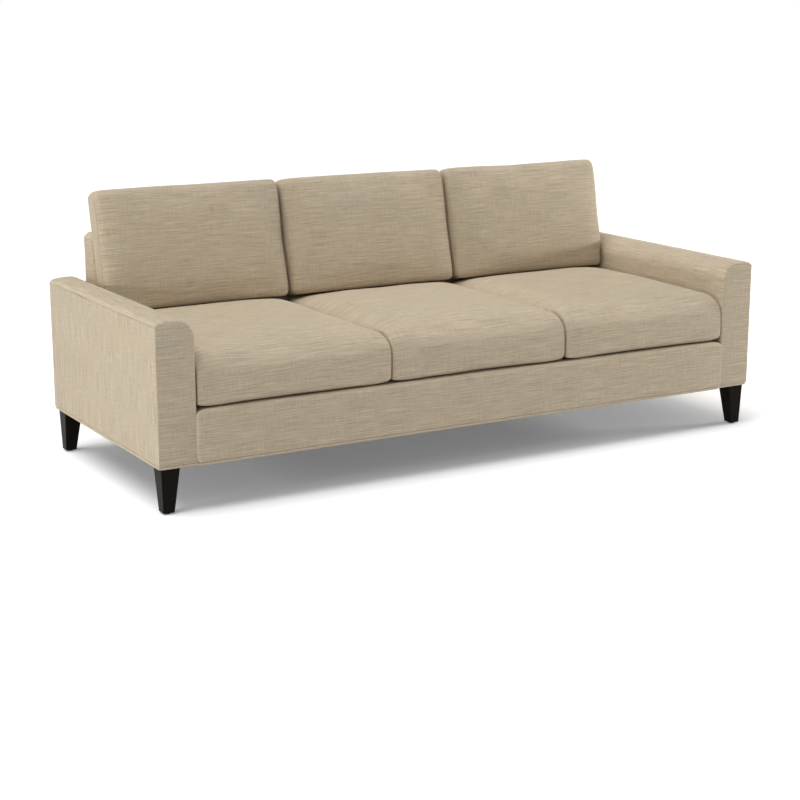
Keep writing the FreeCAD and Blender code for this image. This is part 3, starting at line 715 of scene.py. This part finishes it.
def border_point(point, x):
    """The border's top edge falls a little towards its sewn ends."""
    near_end = max(0.0, 1 - (BORDER_END - abs(x)) / END_FALL_REACH)
    near_top = max(0.0, 1 - (border_high.z - point.y) / END_FALL_REACH)
    return Vector((x, point.x, point.y - END_FALL * near_end ** 2 * near_top))


border = sweep("front_border_cover", border_section, stations(-BORDER_END, BORDER_END, END_ROLL, END_DROP),
               border_point, linen, lambda normal: -1.0, flip=True)
pad_out(border, seed=3)
lay_sweep_weave(border, border_section, lambda co: co.x)
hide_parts("front_border")
print("front border:", len(border.data.vertices), "points")

# %% [markdown]
# ## The back
#
# The back's cover leans with the cushions, rolls over the top rail and ends in a seam behind. Its two
# ends, and the whole rear, are flat panels.

# %% Cover the back
back_low, back_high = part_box("inside_back_cover")
BACK_TOP, DECK_BOTTOM = back_high.z, back_low.z
BACK_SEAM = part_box("outside_back_panel")[1].z
BACK_FRONT_RADIUS, BACK_REAR_RADIUS = 0.018, 0.012
BACK_DEPTH = 0.068
BACK_END_ROLL, BACK_END_DROP = 0.016, 0.011
REAR_SHARE, REAR_PUFF = 0.8, 0.0015
CORNER_FALL, CORNER_REACH, CORNER_DEPTH = 0.011, 0.024, 0.05

back_section = rounded_path([
    (back_low.y, DECK_BOTTOM, 0), (REAR - BACK_DEPTH, BACK_TOP, BACK_FRONT_RADIUS),
    (REAR, BACK_TOP, BACK_REAR_RADIUS), (REAR, BACK_SEAM, SEAM_TURN), (REAR - SEAM_TUCK, BACK_SEAM, 0),
])


def back_inset(normal):
    """The cover's ends pull in at the front and top, and hardly at the rear."""
    return 1 - REAR_SHARE * max(0.0, normal.x)


def corner_fall(x, z):
    """The height of a point of the back, whose top corners are rounded off."""
    near_end = max(0.0, 1 - (ARM_INNER - abs(x)) / CORNER_REACH)
    near_top = max(0.0, 1 - (BACK_TOP - z) / CORNER_DEPTH)
    return z - CORNER_FALL * near_end ** 2 * near_top


back_places = stations(-ARM_INNER, ARM_INNER, BACK_END_ROLL, BACK_END_DROP)
back_cover = sweep("back_cover", back_section, back_places,
                   lambda point, x: Vector((x, point.x, corner_fall(x, point.y))), linen, back_inset)
pad_out(back_cover, seed=11)
lay_sweep_weave(back_cover, back_section, lambda co: co.x)
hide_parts("inside_back_cover")

back_end = [point - normal * BACK_END_DROP * back_inset(normal)
            for point, normal in zip(back_section, path_normals(back_section))]
# The outline of an end leaves out the tuck behind the seam
rear_edge = REAR - BACK_END_DROP * (1 - REAR_SHARE)
end_panel_outline = back_end[:-3] + [Vector((rear_edge, BACK_SEAM)), Vector((rear_edge, DECK_BOTTOM))]
for side_name, side in (("left", -1), ("right", 1)):
    panel = padded_panel(
        f"{side_name}_back_end", end_panel_outline,
        lambda point, rise: Vector((side * (ARM_INNER + rise), point.x, corner_fall(ARM_INNER, point.y))),
        linen, PANEL_PUFF, flip=side < 0)
    lay_weave(panel, lambda co: co.y, lambda co: co.z)

rear_cover = padded_panel(
    "rear_cover", rectangle(-ARM_INNER, COVER_BOTTOM, ARM_INNER, BACK_SEAM),
    lambda point, rise: Vector((point.x, REAR + rise, corner_fall(point.x, point.y))),
    linen, REAR_PUFF, flip=True)
pad_out(rear_cover, seed=13)
lay_weave(rear_cover, lambda co: co.x, lambda co: co.z)
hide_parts("outside_back_panel")
print("back cover:", len(back_cover.data.vertices), "points")

# %% [markdown]
# ## The deck and the welt
#
# Under the seat cushions lies a flat deck, a thin pad in plain cloth. Round the bottom edge runs a welt: a
# cord wrapped in a strip of the cover's own linen. It is a tube on a path with round corners, which
# follows the border where that stands proud of the arms.

# %% Make the deck and the welt
DECK_EDGE, DECK_FULL = 0.004, 0.95
deck_low, deck_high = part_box("deck_pad")
deck = padded_panel("deck", rectangle(deck_low.x, deck_low.y, deck_high.x, deck_high.y),
                    lambda point, rise: Vector((point.x, point.y, deck_high.z + rise)),
                    deck_cloth, 0.0, DECK_EDGE)
lay_weave(deck, lambda co: co.x, lambda co: co.y)
thickness = deck.modifiers.new("Thickness", "SOLIDIFY")
thickness.thickness = (deck_high.z - deck_low.z) * DECK_FULL
thickness.offset = -1
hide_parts("deck_pad")

welt_low, welt_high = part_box("base_welt")
WELT_RADIUS = (welt_high.z - welt_low.z) / 2
WELT_CORNER, WELT_BEND = 0.012, 0.016
side_x, rear_y = welt_high.x - WELT_RADIUS, welt_high.y - WELT_RADIUS
front_y, step_in = -rear_y - BORDER_PROUD, ARM_INNER - WELT_BEND
right_half = [(step_in, front_y), (ARM_INNER, -rear_y), (side_x, -rear_y), (side_x, rear_y)]
turns = right_half + [(-x, y) for x, y in reversed(right_half)]
ring = rounded_path([(0, front_y, 0), *((x, y, WELT_CORNER) for x, y in turns), (0, front_y, 0)])[:-1]
welt_path = [Vector((point.x, point.y, welt_low.z + WELT_RADIUS)) for point in ring]
welt = tube("welt", welt_path, WELT_RADIUS, linen)
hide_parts("base_welt")
print("welt:", len(welt_path), "places round the base")

# %% [markdown]
# ## Where the cushions lie
#
# Each cushion is made flat, in its own directions: x across it, y away from its zip and z up from the
# face that it rests on. A seat cushion's zip is at its rear, and a back cushion stands on its zip and
# leans with the back, along the line on which it can be lifted off. The model's own covers give the
# sizes.

# %% Find each cushion's place
SIDES = ("left", "centre", "right")
joints = {joint["name"]: joint for joint in frame["record"]["behaviour"]["joints"]}
lift = Vector(joints["centre_back_cushion_slide"]["axis"])
CUSHION_AXES = {
    "seat": (Vector((-1, 0, 0)), Vector((0, -1, 0)), Vector((0, 0, 1))),
    "back": (Vector((1, 0, 0)), lift, Vector((1, 0, 0)).cross(lift)),
}


def cushion_place(side_name, kind):
    """A cushion's origin in the sofa's frame, and its width, length and height."""
    axes = np.array(CUSHION_AXES[kind])
    cover = frame["nodes"][f"{side_name}_{kind}_cushion_cover"]
    points = np.array([vertex.co for vertex in cover.data.vertices]) @ axes.T
    low, high = points.min(axis=0), points.max(axis=0)
    return np.array(((low[0] + high[0]) / 2, low[1], low[2])) @ axes, high - low


def to_frame(points, kind, origin=0):
    """A cushion's own points in the sofa's frame; without an origin they are turned only."""
    return np.array(points) @ np.array(CUSHION_AXES[kind]) + origin


for kind in ("seat", "back"):
    print(kind, "cushion:", cushion_place("centre", kind)[1].round(4))

# %% [markdown]
# ## Blowing up a cushion
#
# A cushion is foam in a sewn cover. The foam pushes the cloth out: the faces swell into a crown, and
# the sides pull in between the corners. Blender's cloth solver with a little pressure finds that shape
# by itself. A block with rounded edges, the front one rounder than the rest, is remeshed to even faces
# and blown up for a few frames. The movement is evened out, because tight foam leaves no small wrinkles,
# and capped, so that the cushion keeps its size.

# %% Blow up one seat cushion and one back cushion
VOXEL = 0.009
BLOW_FRAMES = 20
PRESSURE = 0.6
WRINKLE_ROUNDS = 40
SWELL_CAP = 0.026
FRONT_SEGMENTS, EDGE_SEGMENTS, SHARP = 8, 5, math.radians(40)


def soft_block(name, width, length, height, edge, front_edge):
    """A block of even faces with rounded edges, the upper one at its far end by its own radius."""
    shape = bmesh.new()
    bmesh.ops.create_cube(shape, size=1)
    for vertex in shape.verts:
        x, y, z = vertex.co
        vertex.co = x * width, (y + 0.5) * length, (z + 0.5) * height
    far_top = [line for line in shape.edges
               if all(end.co.y > length - LEVEL and end.co.z > height - LEVEL for end in line.verts)]
    round_off = partial(bmesh.ops.bevel, shape, profile=0.5, affect="EDGES")
    round_off(geom=far_top, offset=front_edge, segments=FRONT_SEGMENTS)
    turns = [line for line in shape.edges if line.calc_face_angle(0) > SHARP]
    round_off(geom=turns, offset=edge, segments=EDGE_SEGMENTS)
    mesh = bpy.data.meshes.new(name)
    shape.to_mesh(mesh)
    shape.free()
    block = place_object(name, mesh)
    mesh.remesh_voxel_size = VOXEL
    with bpy.context.temp_override(active_object=block, object=block, selected_objects=[block]):
        bpy.ops.object.voxel_remesh()
    return block


def spread_out(step, mesh):
    """Each point's movement, averaged with its neighbours' a few times, which takes out small wrinkles."""
    lines = np.zeros(2 * len(mesh.edges), np.int32)
    mesh.edges.foreach_get("vertices", lines)
    first, second = lines.reshape(-1, 2).T
    count = np.bincount(lines, minlength=len(step))[:, None]
    for _ in range(WRINKLE_ROUNDS):
        total = np.zeros_like(step)
        np.add.at(total, first, step[second])
        np.add.at(total, second, step[first])
        step = (step + total / count) / 2
    return step


def blown_up(block):
    """The block's points after a short cloth simulation, none moved further than the cap."""
    start = np.array([vertex.co for vertex in block.data.vertices])
    cloth_step = block.modifiers.new("Cloth", "CLOTH")
    cloth_step.settings.use_pressure = True
    cloth_step.settings.uniform_pressure_force = PRESSURE
    cloth_step.settings.effector_weights.gravity = 0
    scene = bpy.context.scene
    for number in range(1, BLOW_FRAMES + 1):
        scene.frame_set(number)
    result = block.evaluated_get(bpy.context.evaluated_depsgraph_get()).to_mesh()
    end = np.array([vertex.co for vertex in result.vertices])
    block.modifiers.clear()
    scene.frame_set(1)
    step = spread_out(end - start, block.data)
    length = np.linalg.norm(step, axis=1, keepdims=True)
    print(block.name, "swells by", round(float(length.max()), 4), "before the cap of", SWELL_CAP)
    return start + step * np.minimum(1, SWELL_CAP / np.maximum(length, TINY))


TRIMS = {"seat": (0.008, 0.014, 0.028), "back": (0.004, 0.004, 0.028)}
LIFTS = {"seat": (0.007, 0.004), "back": (0.002, 0.007)}
EDGES = {"seat": (0.012, 0.065), "back": (0.022, 0.026)}
cushion_shells = {}
for kind, trim in TRIMS.items():
    sizes = cushion_place("centre", kind)[1] - np.array(trim)
    block = soft_block(f"{kind}_block", *sizes, *EDGES[kind])
    points = blown_up(block)
    points[:, 1:] += np.array(LIFTS[kind])
    faces = [list(face.vertices) for face in block.data.polygons]
    cushion_shells[kind] = points, faces
    bpy.data.objects.remove(block)
    print(kind, "shell:", len(points), "points,", np.ptp(points, axis=0).round(4), "across")

# %% [markdown]
# ## Fitting the cushions in their places
#
# A cushion between its neighbours can't swell past them: its sides go flat where they touch, and so do
# the face that it rests on and the end with the zip. The limits below act softly, so that no crease
# shows where they begin. Nothing holds a seat cushion's front, a back cushion's top, or its outer side
# above the arm, so those swell past the model a little. A back cushion's filling settles, so its foot is
# thicker. No two cushions are sat on alike, so each gets slow swells of its own.

# %% Place the six cushions
SIDE_ROOM = 0.0006
OUTER_SWELL = 0.01
END_SWELL = {"seat": 0.01, "back": 0.008}
ABOVE_ARM = (0.045, 0.085)
BACK_WEDGE, WEDGE_FALL = 0.02, 1.4
ROLLS = {"seat": (0.07, 0.012, 0.0, 0.01), "back": (0.075, 0.016, 0.005, 0.0)}
FRONT_FILL, FILL_REACH = {"seat": 0.012, "back": 0.0}, 0.05
LIMIT_SOFT, REST_SOFT = 0.007, 0.003
SWELLS = {"seat": (0.22, 0.0045), "back": (0.17, 0.005)}
RIPPLES = (0.07, 0.0011)


def soft_limit(values, limit, soft=LIMIT_SOFT):
    """Values that level off just below a limit."""
    over = np.maximum(values - (limit - soft), 0)
    return np.where(over > 0, limit - soft * np.exp(-over / soft), values)


def rolled(points, kind, sizes):
    """The filling thins towards the sides: the crown rolls down, top corners drop and foot corners rise.

    A seat cushion's front corners are well filled, so they stand out to the sides.
    """
    reach, fall, corner_drop, foot_rise = ROLLS[kind]
    near = np.clip(1 - (sizes[0] / 2 - np.abs(points[:, 0])) / reach, 0.0, 1.0)
    moved = points.copy()
    moved[:, 2] -= fall * near ** 2 * points[:, 2] / sizes[2]
    moved[:, 1] -= corner_drop * near ** 3 * points[:, 1] / sizes[1]
    low = np.clip(1 - 2 * points[:, 2] / sizes[2], 0.0, 1.0)
    moved[:, 2] += foot_rise * near ** 3 * low * (points[:, 1] / sizes[1]) ** 6
    near_front = np.clip(1 - (sizes[1] - points[:, 1]) / FILL_REACH, 0.0, 1.0)
    moved[:, 0] += np.sign(points[:, 0]) * FRONT_FILL[kind] * near * near_front
    return moved


def fitted(points, sizes, swells, wedge):
    """Points pressed into the cushion's own room, with swells past its low side, high side and far end."""
    width, length, height = sizes
    half = width / 2 - SIDE_ROOM
    free = np.interp(points[:, 1], ABOVE_ARM, (0.0, 1.0))
    low, high = half + swells[0] * free, half + swells[1] * free
    x = points[:, 0] * np.where(points[:, 0] > 0, high, low) / half
    x = soft_limit(-soft_limit(-x, low), high)
    y = points[:, 1] * (1 + swells[2] / length)
    y = soft_limit(-soft_limit(-y, 0.0), length + swells[2])
    z = soft_limit(-soft_limit(-points[:, 2], 0.0, REST_SOFT), height)
    z += wedge * (1 - WEDGE_FALL * y / length) * z / height
    return np.stack((x, y, z), axis=1)


def lived_in(points, kind, sizes, seed):
    """Slow swells and small ripples, none on the face that the cushion rests on."""
    (swell_size, swell), (ripple_size, ripple) = SWELLS[kind], RIPPLES
    moved = points.copy()
    for index, point in enumerate(points):
        place = Vector(point)
        share = min(1.0, max(0.0, point[2] / sizes[2]))
        rise = swell * unevenness(place, seed, swell_size)
        rise += ripple * unevenness(place, seed + 3, ripple_size)
        moved[index, 2] += rise * share
        moved[index, 1] += swell * unevenness(place, seed + 7, swell_size) * point[1] / sizes[1]
    return moved


WEAVE_TURN, SHOULDER, SIDE_FACING, WEAVE_SHIFT = 0.05, 0.7, 0.85, 0.77


def lay_cushion_weave(piece, points, sizes, start):
    """The middle panel's weft runs across the cushion and over its ends; the side panels' runs along it."""
    mesh = piece.data
    layer = mesh.uv_layers.new(name=WEAVE_MAP)
    middle, shoulder = sizes[1] / 2, sizes[2] * SHOULDER
    for face in mesh.polygons:
        on_side = abs(face.normal.x) > SIDE_FACING
        for loop in face.loop_indices:
            x, y, z = points[mesh.loops[loop].vertex_index]
            near_end = max(0.0, 1 - min(y, sizes[1] - y) / WEAVE_TURN)
            down = max(0.0, shoulder - z) * min(1.0, near_end)
            across = z + 2 * x if on_side else y + math.copysign(down, y - middle)
            layer.uv[loop].vector = ((y if on_side else x) + start, across + start)


cushions = {}
for kind, (shell, faces) in cushion_shells.items():
    is_back = kind == "back"
    for number, side_name in enumerate(SIDES):
        body = f"{side_name}_{kind}_cushion"
        origin, sizes = cushion_place(side_name, kind)
        swells = [OUTER_SWELL * (is_back and side_name == outer) for outer in ("left", "right")]
        points = rolled(lived_in(shell, kind, sizes, seed=5 * number + 4), kind, sizes)
        points = fitted(points, sizes, [*swells, END_SWELL[kind]], BACK_WEDGE if is_back else 0.0)
        cushion = mesh_piece(f"{body}_pad", to_frame(points, kind, origin), faces, linen, body)
        lay_cushion_weave(cushion, points, sizes, number * WEAVE_SHIFT)
        cushion.modifiers.new("Subdivision", "SUBSURF").levels = 1
        cushion.modifiers["Subdivision"].render_levels = 1
        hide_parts(f"{body}_cover", f"{body}_core")
        surface = BVHTree.FromPolygons([tuple(point) for point in points], faces)
        cushions[side_name, kind] = points, faces, origin, surface
print("cushions placed:", len(cushions))

# %% [markdown]
# ## The cushions' seams
#
# A cushion's middle panel wraps round it in one piece, and the side panels are sewn to it. The seam is a
# fine ridge that runs round each side a little in from the edge. Cutting the finished mesh with a plane
# gives the line it follows, and a thin tube, half sunk in the cloth, makes the ridge.

# %% Sew the side seams
SEAM_INSET = 0.003
CUSHION_SEAM_RADIUS = 0.001
SEAM_STEP = 0.006


def cut_loop(points, faces, x):
    """The closed line in which a plane across x cuts a shell, as evenly spaced points."""
    shape = bmesh.new()
    for point in points:
        shape.verts.new(point)
    shape.verts.ensure_lookup_table()
    for face in faces:
        shape.faces.new([shape.verts[corner] for corner in face])
    whole = shape.verts[:] + shape.edges[:] + shape.faces[:]
    cut = bmesh.ops.bisect_plane(shape, geom=whole, plane_co=(x, 0, 0), plane_no=(1, 0, 0))["geom_cut"]
    lines = {line for line in cut if isinstance(line, bmesh.types.BMEdge)}
    start = min((end for line in lines for end in line.verts), key=lambda end: (end.co.z, end.co.y))
    path, here = [start.co.copy()], start
    while lines:
        following = next((line for line in here.link_edges if line in lines), None)
        if following is None:
            break
        lines.discard(following)
        here = following.other_vert(here)
        path.append(here.co.copy())
    shape.free()
    return evenly(path)


def evenly(path):
    """A closed path's points, smoothed and set at even steps."""
    places = np.array(path[:-1])
    for _ in range(2):
        places = (np.roll(places, 1, axis=0) + 2 * places + np.roll(places, -1, axis=0)) / 4
    closed = np.vstack((places, places[:1]))
    gone = np.concatenate(([0], np.cumsum(np.linalg.norm(np.diff(closed, axis=0), axis=1))))
    count = round(gone[-1] / SEAM_STEP)
    marks = np.linspace(0, gone[-1], count, endpoint=False)
    return [Vector(place) for place in zip(*(np.interp(marks, gone, part) for part in closed.T))]


for (side_name, kind), (points, faces, origin, surface) in cushions.items():
    edges = {"first": points[:, 0].min() + SEAM_INSET, "second": points[:, 0].max() - SEAM_INSET}
    for edge_name, edge in edges.items():
        loop = cut_loop(points, faces, edge)
        outward = [surface.find_nearest(place)[1] for place in loop]
        path = [Vector(place) for place in to_frame(loop, kind, origin)]
        ups = [Vector(normal) for normal in to_frame(outward, kind)]
        seam = tube(f"{side_name}_{kind}_{edge_name}_seam", path, CUSHION_SEAM_RADIUS, linen,
                    f"{side_name}_{kind}_cushion", ups=ups)
print("seams sewn:", 2 * len(cushions))

# %% [markdown]
# ## The zips
#
# At the rear of a seat cushion, and under a back cushion, a zip lets the foam out for washing. It has a
# woven tape, two rows of moulded teeth that mesh, and a flat slider with its pull. They are small, so
# each tooth is a plain block that narrows outwards, set on the cloth where a ray meets it.

# %% Sew in the zips
ZIP_LENGTH, TAPE_WIDTH, TAPE_PROUD = 0.54, 0.026, 0.0006
TOOTH_STEP, TOOTH_LONG, TOOTH_WIDE, TOOTH_PROUD = 0.003, 0.0017, 0.0026, 0.0012
SLIDER, PULL = (0.009, 0.009, 0.0016), (0.02, 0.005, 0.002)
ZIP_SUNK, ZIP_LEVEL, RAY_START = 0.001, 0.45, 0.05
BLOCK_CORNERS = 8
BLOCK_SIDES = ((0, 1, 2, 3), (7, 6, 5, 4), (0, 4, 5, 1), (1, 5, 6, 2), (2, 6, 7, 3), (3, 7, 4, 0))
zip_tape = cloth("zip_tape", (0.36, 0.3, 0.22, 1), (0.33, 0.29, 0.23, 1),
                 pitch=0.0007, slub=0.3, bump=0.4, sheen=0.0)
zip_teeth = speckled("zip_teeth", (0.25, 0.2, 0.14, 1), (0.34, 0.28, 0.2, 1),
                     scale=900, roughness=0.4, bump=0.1)


def block_points(place, skin, sizes, narrow=0.8):
    """The corners of a block that stands on the cloth and narrows towards its outer face."""
    long, wide, proud = sizes
    corners = []
    for y, share in ((skin + ZIP_SUNK, 1.0), (skin - proud, narrow)):
        for along, across in ((-1, -1), (1, -1), (1, 1), (-1, 1)):
            corners.append((place[0] + along * share * long / 2, y, place[1] + across * share * wide / 2))
    return corners


def zip_blocks(level, skin):
    """Two rows of teeth that mesh along x, and the slider with its pull at the far end."""
    blocks = []
    for number in range(round(ZIP_LENGTH / TOOTH_STEP)):
        x = -ZIP_LENGTH / 2 + number * TOOTH_STEP
        for row, shift in ((-1, 0.0), (1, TOOTH_STEP / 2)):
            place = (x + shift, level + row * TOOTH_WIDE / 4)
            blocks.append(block_points(place, skin(*place), (TOOTH_LONG, TOOTH_WIDE, TOOTH_PROUD)))
    for away, sizes in ((SLIDER[0] / 2, SLIDER), (SLIDER[0] + PULL[0] / 3, PULL)):
        place = (ZIP_LENGTH / 2 + away, level)
        blocks.append(block_points(place, skin(*place), sizes))
    return blocks


def sew_zip(body, level, skin, to_world):
    """A tape and its teeth at a level: skin says how far in the cloth lies, to_world places points."""
    half = TAPE_WIDTH / 2
    tape = padded_panel(
        f"{body}_zip_tape", rectangle(-ZIP_LENGTH / 2, level - half, ZIP_LENGTH / 2, level + half),
        lambda point, rise: to_world((point.x, skin(point.x, point.y) - TAPE_PROUD - rise, point.y)),
        zip_tape, 0.0, TAPE_PROUD)
    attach(tape, body)
    lay_weave(tape, lambda co: co.x, lambda co: co.z - co.y)
    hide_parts(f"{body}_zip_panel")

    blocks = zip_blocks(level, skin)
    corners = [corner for block in blocks for corner in block]
    faces = [[BLOCK_CORNERS * number + corner for corner in side]
             for number in range(len(blocks)) for side in BLOCK_SIDES]
    teeth = mesh_piece(f"{body}_zip_teeth", to_world(corners), faces, zip_teeth, body)
    teeth.data.shade_flat()


for (side_name, kind), (_, _, origin, surface) in cushions.items():
    sew_zip(f"{side_name}_{kind}_cushion", cushion_place(side_name, kind)[1][2] * ZIP_LEVEL,
            lambda x, z: surface.ray_cast(Vector((x, -RAY_START, z)), Vector((0, 1, 0)))[0].y,
            lambda places: to_frame(places, kind, origin))
print("zips sewn in:", len(cushions))

# %% [markdown]
# ## Floor, light and camera
#
# The sofa stands on a plain white floor. A wide, soft lamp high on the left does most of the work, two
# weak ones stand low at either side and reach under the ends, and the white room fills the shadows. The
# floor is brighter to the camera alone, so it reads as white and shows only the shadow under the sofa.
# The camera stands left of the sofa's middle, above arm height, with a long lens, at the place that was
# fitted to the photograph's edges.

# %% Light the room and set the camera


def ray_is_seen(tree):
    """1 for rays from the camera, in mirrors or through glass, and 0 for light that lands on the sofa."""
    rays = add_node(tree, "ShaderNodeLightPath").outputs
    seen = math_node(tree, "MAXIMUM", rays["Is Camera Ray"], rays["Is Glossy Ray"])
    return math_node(tree, "MAXIMUM", seen, rays["Is Transmission Ray"])


ROOM_LIGHT = 0.35
WHITE = grey(1)

room = bpy.data.worlds.new("white_room")
bpy.context.scene.world = room
room.use_nodes = True
tree = room.node_tree
fill_light = tree.nodes["Background"]
plug(tree, fill_light.inputs, {"Color": WHITE, "Strength": ROOM_LIGHT})
seen_room = add_node(tree, "ShaderNodeBackground", {"Color": WHITE, "Strength": 1.0})
both = add_node(tree, "ShaderNodeMixShader", {0: ray_is_seen(tree), 1: fill_light.outputs[0],
                                              2: seen_room.outputs[0]})
tree.links.new(both.outputs[0], tree.nodes["World Output"].inputs["Surface"])

FLOOR_GREY, FLOOR_SEEN, FLOOR_GLOW, FLOOR_REACH = 0.85, 1.0, 0.16, 14.0
floor_white, tree, shader = new_material("floor_white")
tree.nodes.remove(shader)
plain = add_node(tree, "ShaderNodeBsdfDiffuse", {"Color": grey(FLOOR_GREY)})
bright = add_node(tree, "ShaderNodeBsdfDiffuse", {"Color": grey(FLOOR_SEEN)})
glow = add_node(tree, "ShaderNodeEmission", {"Color": WHITE, "Strength": FLOOR_GLOW})
seen_floor = add_node(tree, "ShaderNodeAddShader", {0: bright.outputs[0], 1: glow.outputs[0]})
both = add_node(tree, "ShaderNodeMixShader", {0: ray_is_seen(tree), 1: plain.outputs[0],
                                              2: seen_floor.outputs[0]})
tree.links.new(both.outputs[0], tree.nodes["Material Output"].inputs["Surface"])

floor_mesh = bpy.data.meshes.new("floor")
corners = rectangle(-FLOOR_REACH, -FLOOR_REACH, FLOOR_REACH, FLOOR_REACH)
floor_mesh.from_pydata([(*corner, 0) for corner in corners], [], [(0, 1, 2, 3)])
floor_mesh.materials.append(floor_white)
floor = place_object("floor", floor_mesh)


def hang_lamp(light, place, aim):
    """Hang a lamp at a place and turn it to shine at a point."""
    made = place_object(light.name, light)
    made.location = place
    made.rotation_euler = (Vector(place) - Vector(aim)).to_track_quat("Z", "Y").to_euler()


HIGH_STRENGTH, HIGH_WIDTH, HIGH_PLACE = 2.1, math.radians(45), (-0.27, 0.01, 0.73)
LOW_LAMPS = {"low_left_lamp": ((-4.4, -0.6, 1.0), 28), "low_right_lamp": ((4.6, -0.8, 0.95), 85)}
LOW_SIZE, LOW_AIM = (1.2, 0.35), (0, 0, 0.3)
high_lamp = bpy.data.lights.new("high_left_lamp", "SUN")
high_lamp.energy = HIGH_STRENGTH
high_lamp.angle = HIGH_WIDTH
hang_lamp(high_lamp, HIGH_PLACE, (0, 0, 0))
for name, (place, watts) in LOW_LAMPS.items():
    low_lamp = bpy.data.lights.new(name, "AREA")
    low_lamp.shape = "RECTANGLE"
    low_lamp.energy = watts
    low_lamp.size, low_lamp.size_y = LOW_SIZE
    hang_lamp(low_lamp, place, LOW_AIM)

CAMERA_PLACE = Vector((-2.9435, -4.9658, 1.5131))
CAMERA_TURN, CAMERA_TILT = math.radians(-30.30), math.radians(13.52)
FOCAL_LENGTH, SENSOR_WIDTH = 78.84, 36.0
toward_camera = Vector((math.sin(CAMERA_TURN) * math.cos(CAMERA_TILT),
                        -math.cos(CAMERA_TURN) * math.cos(CAMERA_TILT), math.sin(CAMERA_TILT)))
lens = bpy.data.cameras.new("camera")
lens.lens = FOCAL_LENGTH
lens.sensor_width = SENSOR_WIDTH
camera = place_object("camera", lens)
camera.location = CAMERA_PLACE
camera.rotation_euler = toward_camera.to_track_quat("Z", "Y").to_euler()
bpy.context.scene.camera = camera
bpy.context.scene.view_settings.view_transform = "Standard"
print("lamps:", len(bpy.data.lights), "and the camera at", tuple(round(part, 3) for part in CAMERA_PLACE))
